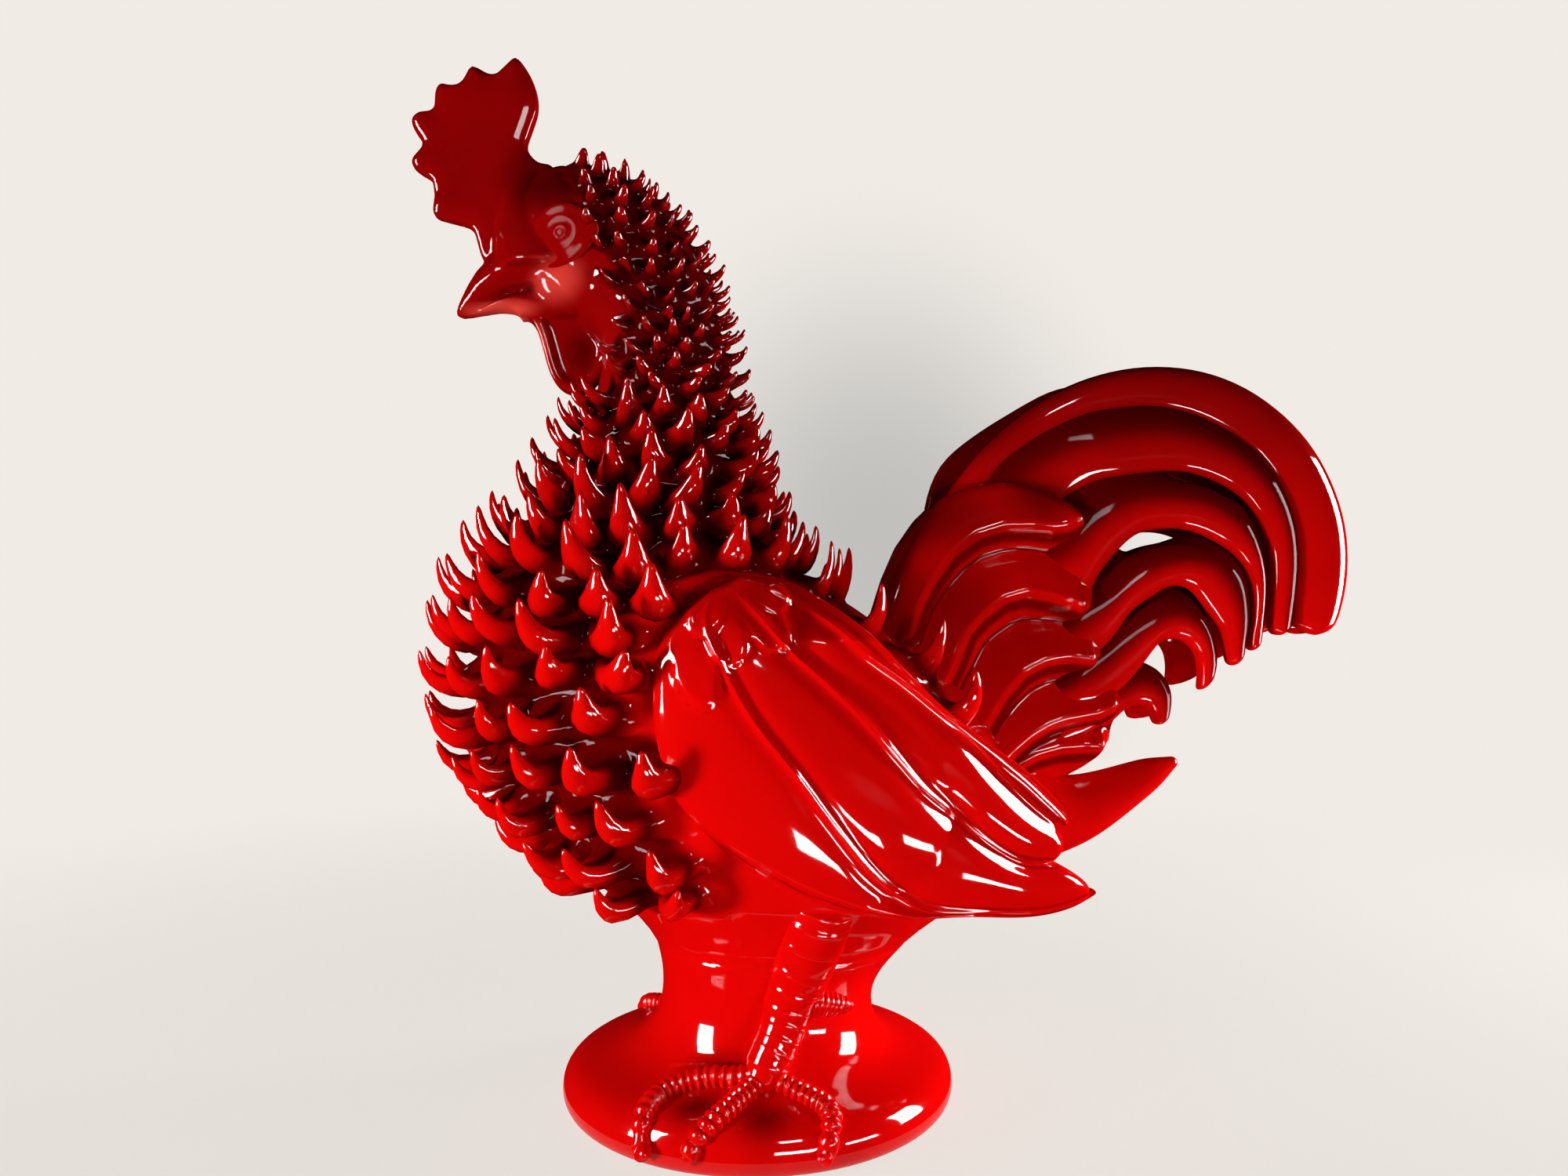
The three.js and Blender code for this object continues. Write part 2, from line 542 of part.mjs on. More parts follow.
// A pinched spike on the four corners of its patch of skin: wide root, keeled belly, tip curling up.
const spikeShape = {
  bellyOut: 0.5,
  tipOut: 0.74,
  tipUp: 0.62,
  sideWidth: 0.27,
  keelOut: 0.09,
  keelDrop: 0.3,
  hollowRise: 0.14,
};
const rearShortening = { body: 0.36, above: 0.1 };
const underLift = 0.5;
function spikePoints(corners, fullLength) {
  const [a, b, c, d] = corners.map((p) => new THREE.Vector3(...p));
  const centre = a.clone().add(b).add(c).add(d).multiplyScalar(0.25);
  const side = b.clone().sub(a).add(c).sub(d).multiplyScalar(0.5);
  const rise = d.clone().sub(a).add(c).sub(b).multiplyScalar(0.5);
  const out = side.clone().cross(rise).normalize();
  const shortening = centre.z < neckSeam ? rearShortening.body : rearShortening.above;
  const length = fullLength * (1 - shortening * Math.max(0, out.x));
  if (out.z < 0) out.z *= underLift;
  out.normalize();
  const up = new THREE.Vector3(0, 0, 1).addScaledVector(out, -0.35 * out.z).normalize();
  const k = spikeShape;
  const belly = centre.clone().addScaledVector(out, length * k.bellyOut).addScaledVector(rise, -0.06);
  const left = belly.clone().addScaledVector(side, -k.sideWidth);
  const right = belly.clone().addScaledVector(side, k.sideWidth);
  const keel = belly.clone().addScaledVector(out, length * k.keelOut).addScaledVector(rise, -k.keelDrop);
  const hollow = belly.clone().addScaledVector(rise, k.hollowRise);
  const tip = centre.clone().addScaledVector(out, length * k.tipOut).addScaledVector(up, length * k.tipUp);
  return [left, right, keel, hollow, tip].map((v) => [v.x, v.y, v.z]);
}
function spike(clay, corners, points) {
  const [L, R, K, H, T] = points.map((p) => clay.add(p));
  const [A, B, C, D] = corners;
  clay.face(A, B, K);
  clay.face(A, K, L);
  clay.face(B, R, K);
  clay.face(B, C, R);
  clay.face(C, H, R);
  clay.face(C, D, H);
  clay.face(D, L, H);
  clay.face(D, A, L);
  clay.face(L, K, T);
  clay.face(K, R, T);
  clay.face(R, H, T);
  clay.face(H, L, T);
}

// Whether a spike stands at a place on the skin.
const lowestSpikeShare = 0.1874;
function spiked(x, y, z) {
  const h = z / figureHeight;
  const px = x / figureHeight;
  const py = Math.abs(y) / figureHeight;
  if (h > seamShares.neck) {
    const [limit] = faceLimitAt(h);
    return px > limit;
  }
  const [limit] = wingLimitAt(h);
  if (h < lowestSpikeShare) return false;
  if (px < limit) return true;
  if (h > backShares.full) return px < 0 || py < backShares.outer;
  return h > backShares.low && px > 0 && py > backShares.inner && py < backShares.outer;
}

// A spike is left out where it would run into a piece that stands there already.
function standsClear(points, keepClear) {
  const hull = Manifold.hull(points);
  return keepClear.every((solid) => solid.intersect(hull).isEmpty());
}

// Outer skin of one shell from its bands; returns the first and the last ring.
function outerSkin(clay, bands, counts, low, grow, keepClear) {
  let first = null;
  let last = null;
  bands.forEach(([lowShare, highShare], row) => {
    const count = counts[row];
    const turn = (row % 2) / 2;
    const rings = [lowShare, highShare].map((share) =>
      clay.ring(
        Array.from({ length: count }, (_, k) =>
          skinPoint(((k + turn) * 2 * Math.PI) / count, Math.max(share * figureHeight, low), grow),
        ),
      ),
    );
    const [bottom, top] = rings;
    if (last) clay.strip(last, bottom);
    if (!first) first = bottom;
    for (let k = 0; k < count; k++) {
      const n = (k + 1) % count;
      const corners = [bottom[k], bottom[n], top[n], top[k]];
      const at = [0, 1, 2].map((c) => corners.reduce((s, i) => s + clay.points[i][c], 0) / corners.length);
      const points =
        keepClear && spiked(...at) ? spikePoints(corners.map((i) => clay.points[i]), spikeLengthAt(at[2] / figureHeight)[0]) : null;
      if (points && standsClear([...points, ...corners.map((i) => clay.points[i])], keepClear)) {
        spike(clay, corners, points);
      } else {
        clay.face(corners[0], corners[1], corners[2]);
        clay.face(corners[0], corners[2], corners[3]);
      }
    }
    last = top;
  });
  return [first, last];
}

// Inner skin of a shell, joined to both rims of the outer skin.
function innerSkin(clay, firstOuter, lastOuter, heights, count) {
  const rings = heights.map((z) =>
    clay.ring(Array.from({ length: count }, (_, k) => skinPoint((k * 2 * Math.PI) / count, z, -wallThickness))),
  );
  clay.strip(rings[0], firstOuter);
  for (let i = 1; i < rings.length; i++) clay.strip(rings[i], rings[i - 1]);
  if (lastOuter) clay.strip(lastOuter, rings[rings.length - 1]);
  return rings[rings.length - 1];
}

function between(low, high, count) {
  return Array.from({ length: count }, (_, i) => low + ((high - low) * i) / (count - 1));
}

const footSeam = seamShares.foot * figureHeight;
const neckSeam = seamShares.neck * figureHeight;
const headSeam = seamShares.head * figureHeight;
const crown = skinShares[skinShares.length - 1][0] * figureHeight;
const innerCount = 14;

function bodyShell(keepClear) {
  const clay = new Clay();
  const bottom = footSeam + seamGap;
  const [first, last] = outerSkin(clay, bodyBandShares, bodyBandCounts, bottom, 0, keepClear);
  innerSkin(clay, first, last, between(bottom, bodyBandShares.at(-1)[1] * figureHeight, 7), innerCount);
  return clay.solid();
}

function neckShell(keepClear) {
  const clay = new Clay();
  const [first, last] = outerSkin(clay, neckBandShares, neckBandCounts, neckSeam + seamGap, 0, keepClear);
  const top = neckBandShares.at(-1)[1] * figureHeight;
  innerSkin(clay, first, last, between(neckSeam + seamGap, top, 4), innerCount);
  return clay.solid();
}

function headShell(keepClear) {
  const clay = new Clay();
  const bottom = headSeam + seamGap;
  const [first, last] = outerSkin(clay, headBandShares, headBandCounts, bottom, 0, keepClear);
  clay.fan(last, clay.add([section(crown, 0).middle, 0, crown]));
  const innerTop = crown - 2 * wallThickness;
  const inner = innerSkin(clay, first, null, between(bottom, innerTop, 5), 12);
  const roof = section(innerTop, 0);
  clay.fan([...inner].reverse(), clay.add([roof.middle, 0, innerTop + wallThickness / 2]));
  return clay.solid();
}

// Skin without spikes as a solid, used to shape whatever is luted onto it.
function skinCore(bands, counts, low, grow, roof) {
  const clay = new Clay();
  const [first, last] = outerSkin(clay, bands, counts, low, grow, null);
  clay.cap(first, -1);
  if (roof) clay.fan(last, clay.add([roof[0], 0, roof[1] + grow]));
  else clay.cap(last, 1);
  return clay.solid();
}

// Foot: disc, cove and stem turned in one, open above, with a vent through the floor.
const stemCount = 36;
function stemRing(clay, share, grow, count) {
  const [middle, radius] = stemAt(share);
  const z = share * figureHeight;
  return clay.ring(
    Array.from({ length: count }, (_, k) => {
      const angle = (k * 2 * Math.PI) / count;
      const r = radius * figureHeight + grow;
      return [middle * figureHeight + r * Math.cos(angle), r * Math.sin(angle), z];
    }),
  );
}
function stemOuter(clay, grow) {
  const heights = [0, 0.0035, 0.0117, 0.0258, 0.0386, 0.0468, 0.0515, 0.0585, 0.0703, 0.089, 0.1077, 0.1311, 0.1546];
  const rings = heights.map((share) => stemRing(clay, share, grow, stemCount));
  for (let i = 1; i < rings.length; i++) clay.strip(rings[i - 1], rings[i]);
  clay.cap(rings[0], -1);
  return rings[rings.length - 1];
}
function pedestal() {
  const clay = new Clay();
  const top = stemOuter(clay, 0);
  const topShare = seamShares.foot;
  const floorShare = footFloorThickness / figureHeight;
  const count = 16;
  const inner = [topShare, 0.1171, 0.089].map((share) => stemRing(clay, share, -wallThickness, count));
  const [middle] = stemAt(floorShare);
  const floorRadius = stemAt(0.103)[1] * figureHeight - wallThickness;
  inner.push(
    clay.ring(
      Array.from({ length: count }, (_, k) => {
        const angle = (k * 2 * Math.PI) / count;
        const x = middle * figureHeight + floorRadius * Math.cos(angle);
        return [x, floorRadius * Math.sin(angle), footFloorThickness];
      }),
    ),
  );
  clay.strip(top, inner[0]);
  for (let i = 1; i < inner.length; i++) clay.strip(inner[i - 1], inner[i]);
  clay.cap(inner[inner.length - 1], 1);
  const vent = Manifold.cylinder(4 * footFloorThickness, ventRadius, ventRadius, 16, true);
  return clay.solid().subtract(vent.translate([ventOffset, 0, 0]));
}
function stemCore(grow) {
  const clay = new Clay();
  const top = stemOuter(clay, grow);
  clay.cap(top, 1);
  return clay.solid();
}

// A slab with softened edges, cut to an outline in the middle plane.
function slab(outlineShares, count, thickness, inset, round) {
  const path = new THREE.CatmullRomCurve3(
    outlineShares.map(([x, z]) => new THREE.Vector3(x * figureHeight, 0, z * figureHeight)),
    true,
    "centripetal",
  );
  const line = path.getSpacedPoints(count).slice(0, count);
  const area = line.reduce((s, p, i) => {
    const q = line[(i + 1) % count];
    return s + p.x * q.z - q.x * p.z;
  }, 0);
  const inward = line.map((p, i) => {
    const a = line[(i + count - 1) % count];
    const b = line[(i + 1) % count];
    const t = new THREE.Vector3(b.x - a.x, 0, b.z - a.z).normalize();
    const flip = area > 0 ? 1 : -1;
    return new THREE.Vector3(-t.z * flip, 0, t.x * flip);
  });
  const clay = new Clay();
  const layer = (y, depth) =>
    clay.ring(line.map((p, i) => [p.x + inward[i].x * depth, y, p.z + inward[i].z * depth]));
  const half = thickness / 2;
  const layers = [layer(-half, inset), layer(-half + round, 0), layer(half - round, 0), layer(half, inset)];
  for (let i = 1; i < layers.length; i++) {
    for (let k = 0; k < count; k++) {
      const n = (k + 1) % count;
      clay.face(layers[i - 1][k], layers[i - 1][n], layers[i][n]);
      clay.face(layers[i - 1][k], layers[i][n], layers[i][k]);
    }
  }
  for (const [ring, facing] of [
    [layers[0], -1],
    [layers[3], 1],
  ]) {
    const flat = line.map((p) => new THREE.Vector2(p.x, p.z));
    for (const [a, b, c] of THREE.ShapeUtils.triangulateShape([...flat], [])) {
      const turn = THREE.ShapeUtils.area([flat[a], flat[b], flat[c]]) * area > 0;
      if (turn === facing > 0) clay.face(ring[a], ring[b], ring[c]);
      else clay.face(ring[a], ring[c], ring[b]);
    }
  }
  return clay.solid();
}

// A beak half lofted along X through rounded sections.
const beakRimShares = [
  [0, -1], [0.62, -0.8], [1, -0.2], [0.9, 0.35], [0.5, 0.85], [0, 1], [-0.5, 0.85],
  [-0.9, 0.35], [-1, -0.2], [-0.62, -0.8],
];
function beak(rows, grow) {
  const clay = new Clay();
  const rings = rows.map(([x, low, high, half]) => {
    const zMid = ((low + high) / 2) * figureHeight;
    const zHalf = ((high - low) / 2) * figureHeight + grow;
    const yHalf = half * figureHeight + grow;
    return clay.ring(beakRimShares.map(([y, z]) => [x * figureHeight, y * yHalf, zMid + z * zHalf]));
  });
  for (let i = 1; i < rings.length; i++) {
    rings[i].forEach((_, k) => {
      const n = (k + 1) % rings[i].length;
      clay.face(rings[i - 1][k], rings[i - 1][n], rings[i][n]);
      clay.face(rings[i - 1][k], rings[i][n], rings[i][k]);
    });
  }
  clay.cap(rings[0], -1);
  clay.cap(rings[rings.length - 1], 1);
  return clay.solid();
}

// A tube of round sections along a line of points with a radius each.
function tube(points, radii, count) {
  const clay = new Clay();
  const at = points.map((p) => new THREE.Vector3(...p));
  const rings = at.map((p, i) => {
    const ahead = at[Math.min(at.length - 1, i + 1)].clone().sub(at[Math.max(0, i - 1)]).normalize();
    const reference = Math.abs(ahead.z) > 0.75 ? new THREE.Vector3(1, 0, 0) : new THREE.Vector3(0, 0, 1);
    const side = ahead.clone().cross(reference).normalize();
    const over = side.clone().cross(ahead).normalize();
    return clay.ring(
      Array.from({ length: count }, (_, k) => {
        const angle = ((k + 0.5) * 2 * Math.PI) / count;
        const v = p
          .clone()
          .addScaledVector(side, radii[i] * Math.cos(angle))
          .addScaledVector(over, radii[i] * Math.sin(angle));
        return [v.x, v.y, v.z];
      }),
    );
  });
  for (let i = 1; i < rings.length; i++) {
    rings[i].forEach((_, k) => {
      const n = (k + 1) % count;
      clay.face(rings[i - 1][k], rings[i - 1][n], rings[i][n]);
      clay.face(rings[i - 1][k], rings[i][n], rings[i][k]);
    });
  }
  clay.cap(rings[0], -1);
  clay.cap(rings[rings.length - 1], 1);
  return clay.solid();
}

// Rear point: a drawn-out cone under the tail.
function rearPoint(grow) {
  const line = evenLine(rearPointShares.map(([x, z]) => [x, 0, z]), 7);
  const path = smoothTable(rearPointShares);
  const radii = line.map(([x]) => path(x / figureHeight)[1] * figureHeight + grow);
  return tube(line, radii, 12);
}

// Wing: one slab over the flank with four feather courses, its back carved to the body.
function wingBase(x, z) {
  const along = Math.max(0, x - 0.0468 * figureHeight);
  const above = Math.max(0, z - 0.445 * figureHeight);
  const plane = wingRearSpread - 0.1 * along - (0.5124 * along * along) / figureHeight - 0.9 * above;
  return Math.max(skinHalf(x, z), plane);
}
const wingStations = 13;
const wingSteps = 3;
const featherProfileShares = [0, 0.8, 1];
const wingEndShares = 0.5;
function wing() {
  const lines = wingLineShares.map((rows) => evenLine(rows, wingStations));
  const clay = new Clay();
  const outer = [];
  const inner = [];
  const across = (lines.length - 1) * wingSteps;
  for (let i = 0; i < wingStations; i++) {
    const faceRow = [];
    const backRow = [];
    const travel = i / (wingStations - 1);
    for (let j = 0; j <= across; j++) {
      const k = Math.min(lines.length - 2, Math.floor(j / wingSteps));
      const t = (j - k * wingSteps) / wingSteps;
      const a = lines[k][i];
      const b = lines[k + 1][i];
      const x = a[0] + (b[0] - a[0]) * t;
      const z = a[1] + (b[1] - a[1]) * t;
      const width = Math.hypot(b[0] - a[0], b[1] - a[1]);
      const wide = Math.min(1, width / (0.0422 * figureHeight));
      const fade = Math.min(1, travel * 5);
      const course = (t === 1 ? 0 : featherProfileShares[Math.round(t * wingSteps)]) * wingFeatherRise * wide * fade;
      const u = j / across;
      const dome = Math.sqrt(Math.max(0, 1 - (2 * u - 1) ** 2)) * wingCrown;
      const end = 1 - wingEndShares * travel ** 6;
      const base = wingBase(x, z);
      faceRow.push(clay.add([x, -(base + wingEdgeRise + (dome + course) * end), z]));
      if (j % wingSteps === 0) backRow.push(clay.add([x, -(base - wingBodyOverlap), z]));
    }
    outer.push(faceRow);
    inner.push(backRow);
  }
  const quad = (a, b, c, d) => {
    clay.face(a, b, c);
    clay.face(a, c, d);
  };
  const courses = lines.length - 1;
  for (let i = 1; i < wingStations; i++) {
    for (let j = 1; j <= across; j++) {
      quad(outer[i - 1][j - 1], outer[i][j - 1], outer[i][j], outer[i - 1][j]);
    }
    for (let j = 1; j <= courses; j++) {
      quad(inner[i - 1][j - 1], inner[i - 1][j], inner[i][j], inner[i][j - 1]);
    }
    quad(outer[i - 1][0], inner[i - 1][0], inner[i][0], outer[i][0]);
    quad(outer[i - 1][across], outer[i][across], inner[i][courses], inner[i - 1][courses]);
  }
  // The two ends: each coarse edge of the back meets the fine edges of the face.
  for (const [row, turned] of [
    [0, false],
    [wingStations - 1, true],
  ]) {
    const put = (a, b, c) => (turned ? clay.face(a, c, b) : clay.face(a, b, c));
    for (let k = 0; k < courses; k++) {
      const first = k * wingSteps;
      const nearMiddle = Math.ceil(wingSteps / 2);
      for (let j = 0; j < wingSteps; j++) {
        const back = j < nearMiddle ? inner[row][k] : inner[row][k + 1];
        put(outer[row][first + j], outer[row][first + j + 1], back);
      }
      put(outer[row][first + nearMiddle], inner[row][k + 1], inner[row][k]);
    }
  }
  return clay.solid();
}
const scapularCrownShare = 0.55;
function scapulars() {
  return scapularShares.map(([x0, z0, x1, z1, half]) => {
    const middleX = ((x0 + x1) / 2) * figureHeight;
    const middleZ = ((z0 + z1) / 2) * figureHeight;
    const reach = (Math.hypot(x1 - x0, z1 - z0) / 2) * figureHeight;
    const lean = (Math.atan2(z1 - z0, x1 - x0) * 180) / Math.PI;
    const surface = wingBase(middleX, middleZ) + wingEdgeRise + wingCrown * scapularCrownShare;
    const leaf = Manifold.sphere(1, 12).scale([reach, scapularRise * 2, half * figureHeight]);
    return leaf.rotate([0, -lean, 0]).translate([middleX, scapularRise - surface, middleZ]);
  });
}

// Tail: each half a wall of overlapping feathers, closed toward the middle plane at its front rim.
function tailFeather({ outer, inner, depths, stations, rim }) {
  const a = evenLine(outer, stations);
  const b = evenLine(inner, stations);
  const clay = new Clay();
  const [dOuter, dCrest, dInner] = depths.map((share) => share * figureHeight);
  const rings = a.map((p, i) => {
    const q = b[i];
    const spot = (t, depth) => [p[0] + (q[0] - p[0]) * t, -depth, p[1] + (q[1] - p[1]) * t];
    if (rim) {
      return clay.ring([
        spot(0, tailMidGap),
        spot(0.02, dOuter * 0.7),
        spot(0.22, dCrest * 0.9),
        spot(0.6, dCrest),
        spot(1, dInner),
        spot(1, dInner - tailWall),
        spot(0.5, dCrest - tailWall),
        spot(0.34, tailMidGap),
      ]);
    }
    return clay.ring([
      spot(0, dOuter),
      spot(0.22, dCrest * 0.97),
      spot(0.6, dCrest),
      spot(1, dInner),
      spot(1, dInner - tailWall),
      spot(0, dOuter - tailWall),
    ]);
  });
  for (let i = 1; i < rings.length; i++) {
    rings[i].forEach((_, k) => {
      const n = (k + 1) % rings[i].length;
      clay.face(rings[i - 1][k], rings[i - 1][n], rings[i][n]);
      clay.face(rings[i - 1][k], rings[i][n], rings[i][k]);
    });
  }
  for (const [ring, facing] of [
    [rings[0], -1],
    [rings[rings.length - 1], 1],
  ]) {
    const m = ring.length;
    const half = m / 2;
    for (let k = 0; k < half - 1; k++) {
      const corners = [ring[k], ring[k + 1], ring[m - 2 - k], ring[m - 1 - k]];
      const [p, q, r, s] = facing > 0 ? corners : [...corners].reverse();
      clay.face(p, q, r);
      clay.face(p, r, s);
    }
  }
  return clay.solid();
}

// Leg in low relief on the stem, ringed with scutes.
const legStations = 13;
function legTube(grow) {
  const line = evenLine(legShares.map(([x, y, z]) => [x, y, z]), legStations);
  const widths = evenLine(legShares.map(([, , z, r]) => [r, 0, z]), legStations);
  const radii = line.map((_, i) => widths[i][0] + grow + (i % 2 ? legScuteRise : 0));
  return tube(line, radii, 8);
}
function footTopHeight(x, y) {
  let share = 0.0375;
  const reach = Math.hypot(x, y);
  for (let i = 0; i < 400; i++) {
    const [middle, radius] = stemAt(share);
    if (radius * figureHeight + Math.abs(middle) * 0 <= reach) break;
    share += 0.0002;
  }
  return share * figureHeight;
}
function foot(grow) {
  return joined(
    toeShares.map((rows) => {
      const stations = 9;
      const line = evenLine(rows.map(([x, y]) => [x, y, 0]), stations).map(([x, y]) => [x, y, footTopHeight(x, y)]);
      const radii = line.map((_, i) => {
        const t = i / (stations - 1);
        const plain = toeRadius + (toeTipRadius - toeRadius) * t ** 3;
        return plain + grow + (i % 2 ? toeScuteRise : 0);
      });
      return tube(line, radii, 5);
    }),
  );
}
function spur(grow) {
  const line = evenLine([spurShares.start, spurShares.end], 6);
  const radii = line.map((_, i) => {
    const t = i / (line.length - 1);
    return spurRadius + (spurTipRadius - spurRadius) * t ** 2 + grow + (i % 2 ? toeScuteRise : 0);
  });
  return tube(line, radii, 7);
}

// Eye: a low disc with a ring and a pupil, laid on the side of the head.
function eye() {
  const profile = [
    [eyeRadius, 0],
    [eyeRadius * 0.86, eyeRise * 0.9],
    [lidRadius * 1.15, eyeRise],
    [lidRadius, eyeRise * 0.62],
    [pupilRadius * 1.2, eyeRise * 0.8],
    [pupilRadius, eyeRise * 1.3],
  ];
  const clay = new Clay();
  const x = eyeShares.x * figureHeight;
  const z = eyeShares.z * figureHeight;
  const count = 12;
  const rows = [[eyeRadius, -2 * eyeRise], ...profile];
  const rings = rows.map(([r, rise]) =>
    clay.ring(
      Array.from({ length: count }, (_, k) => {
        const angle = (k * 2 * Math.PI) / count;
        const px = x + r * Math.cos(angle);
        const pz = z + r * Math.sin(angle) * 0.94;
        return [px, -(skinHalf(px, pz) + rise), pz];
      }),
    ),
  );
  for (let i = 1; i < rings.length; i++) clay.strip(rings[i - 1], rings[i]);
  clay.cap(rings[0], -1);
  clay.cap(rings[rings.length - 1], 1);
  return clay.solid();
}

// Assembly: what is luted on later is carved to what it sits on.
const bodyCore = skinCore(bodyBandShares, bodyBandCounts, footSeam + seamGap, carveGap);
const neckCore = skinCore(neckBandShares, neckBandCounts, neckSeam + seamGap, carveGap);
const crownPoint = [section(crown, 0).middle, crown];
const headCore = skinCore(headBandShares, headBandCounts, headSeam + seamGap, carveGap, crownPoint);
const footCore = stemCore(carveGap);
const upperBeakWhole = beak(upperBeakShares, 0);
const upperBeak = largest(upperBeakWhole.subtract(headCore));
const lowerBeak = largest(
  beak(lowerBeakShares, 0).subtract(headCore).subtract(beak(upperBeakShares, carveGap)),
);
const comb = largest(
  slab(combShares, 56, combThickness, combEdgeInset, combEdgeRound)
    .subtract(headCore)
    .subtract(beak(upperBeakShares, carveGap)),
);
const wattle = largest(
  slab(wattleShares, 26, wattleThickness, wattleEdgeInset, wattleEdgeRound)
    .subtract(headCore)
    .subtract(neckCore)
    .subtract(beak(lowerBeakShares, carveGap)),
);
const rear = largest(rearPoint(0).subtract(bodyCore));
const wingLeft = largest(joined([wing(), ...scapulars()]).subtract(bodyCore));
const tailLeft = largest(
  joined(tailFeatherShares.map(tailFeather)).subtract(bodyCore).subtract(rearPoint(carveGap)),
);
const footLeft = largest(foot(0).subtract(footCore));
const legLeft = largest(legTube(0).subtract(footCore).subtract(bodyCore).subtract(foot(carveGap)));
const spurLeft = largest(spur(0).subtract(footCore).subtract(legTube(carveGap)));
const eyeLeft = largest(eye().subtract(headCore));

const luted = [
  wingLeft,
  mirrored(wingLeft),
  tailLeft,
  mirrored(tailLeft),
  rear,
  comb,
  wattle,
  upperBeak,
  lowerBeak,
  legLeft,
  mirrored(legLeft),
];
const clearOf = (solids, others) => solids.concat(others);
const body = bodyShell(clearOf(luted, [neckCore]));
const neck = neckShell(clearOf(luted, [body, headCore]));
const head = headShell(clearOf(luted, [neck]));

const glazes = {
  body: 0xa60d0d,
  relief: 0xb51212,
  tail: 0xb00f10,
};
const pieces = [
  ["pedestal", pedestal(), glazes.body],
  ["body_shell", body, glazes.body],
  ["neck_shell", neck, glazes.body],
  ["head_shell", head, glazes.body],
  ["comb", comb, glazes.relief],
  ["upper_beak", upperBeak, glazes.relief],
  ["lower_beak", lowerBeak, glazes.relief],
  ["wattle", wattle, glazes.relief],
  ["eye_left", eyeLeft, glazes.relief],
  ["eye_right", mirrored(eyeLeft), glazes.relief],
  ["wing_left", wingLeft, glazes.relief],
  ["wing_right", mirrored(wingLeft), glazes.relief],
  ["tail_left", tailLeft, glazes.tail],
  ["tail_right", mirrored(tailLeft), glazes.tail],
  ["rear_point", rear, glazes.body],
  ["leg_left", legLeft, glazes.relief],
  ["leg_right", mirrored(legLeft), glazes.relief],
  ["foot_left", footLeft, glazes.relief],
  ["foot_right", mirrored(footLeft), glazes.relief],
  ["spur_left", spurLeft, glazes.relief],
  ["spur_right", mirrored(spurLeft), glazes.relief],
];

const figure = new THREE.Group();
figure.name = "ceramic_cockerel";
for (const [name, solid, colour] of pieces) {
  const source = solid.getMesh();
  const geometry = new THREE.BufferGeometry();
  geometry.setAttribute("position", new THREE.BufferAttribute(new Float32Array(source.vertProperties), 3));
  geometry.setIndex(new THREE.BufferAttribute(new Uint32Array(source.triVerts), 1));
  geometry.computeVertexNormals();
  const material = new THREE.MeshStandardMaterial({ color: colour, roughness: 0.15, metalness: 0 });
  material.name = name;
  const mesh = new THREE.Mesh(geometry, material);
  mesh.name = name;
  figure.add(mesh);
}

export default figure;
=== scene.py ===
import math
import random

import bmesh
import bpy
from mathutils import Matrix, Vector


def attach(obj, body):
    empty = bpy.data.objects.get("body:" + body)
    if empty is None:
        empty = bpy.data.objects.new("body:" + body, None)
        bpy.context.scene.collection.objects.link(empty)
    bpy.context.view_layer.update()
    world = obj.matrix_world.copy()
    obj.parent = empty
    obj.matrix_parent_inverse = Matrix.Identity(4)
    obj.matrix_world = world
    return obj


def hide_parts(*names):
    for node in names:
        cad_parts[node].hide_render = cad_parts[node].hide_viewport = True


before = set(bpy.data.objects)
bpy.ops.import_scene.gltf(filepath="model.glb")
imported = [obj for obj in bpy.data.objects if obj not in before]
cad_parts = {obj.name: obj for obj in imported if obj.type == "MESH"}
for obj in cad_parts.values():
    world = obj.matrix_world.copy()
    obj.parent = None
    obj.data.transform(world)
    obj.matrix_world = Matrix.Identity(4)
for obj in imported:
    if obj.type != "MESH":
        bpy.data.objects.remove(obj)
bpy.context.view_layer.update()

# Every table of sizes is in millimetres; the scene is in metres. The beak points to -X.
MM = 0.001
MIDDLE = Vector((0.0, 0.0, 0.20))

# Height, front edge, rear edge and half width of the hollow body, from the stem to the crown.
SKIN = (
    (60, -40.5, 57, 46.5), (66, -41.6, 62, 49), (70, -44, 68, 51), (77.4, -49.5, 78, 56),
    (84, -57.5, 86, 61), (91, -66.5, 93, 65), (101, -77, 99, 69), (114, -88.5, 104, 72.5),
    (130, -99.5, 105, 75), (148, -110.5, 100, 76), (165, -115.5, 88, 75.5), (181, -116.5, 70, 74),
    (195, -114.5, 50, 71), (207, -111.5, 33, 67), (216, -108, 21, 62), (226, -103, 12, 56),
    (238, -94.5, 5.5, 49), (250, -85, 1.6, 43), (264, -77.5, -2, 38), (278, -70.5, -5.9, 33.5),
    (291, -65.5, -8.1, 30.5), (305, -63.5, -10.3, 29), (316, -69, -12.7, 29.5),
    (326, -79, -15.3, 31.5), (336, -87, -18.6, 33), (346, -92, -22.6, 33.6),
    (356, -94.5, -28.5, 32.5), (365, -94, -35.5, 29.5), (373, -91, -44.5, 24),
    (379, -86.5, -56, 16.5), (382, -81.5, -66, 9),
)
# Height, middle and radius of the foot and its stem.
STEM = (
    (0, 0, 70), (1.2, 0, 74.5), (4, 0, 78.5), (9, 0, 80), (14, 0, 79), (18, 0, 76), (20.6, 0, 70.5),
    (22, 0.3, 63), (24, 0.8, 56), (27.5, 1.6, 50), (32, 2.4, 46.4), (38, 3.2, 44), (44, 3.9, 43.2),
    (50, 5, 44), (57, 7, 46.5), (66, 10.2, 51.8),
)
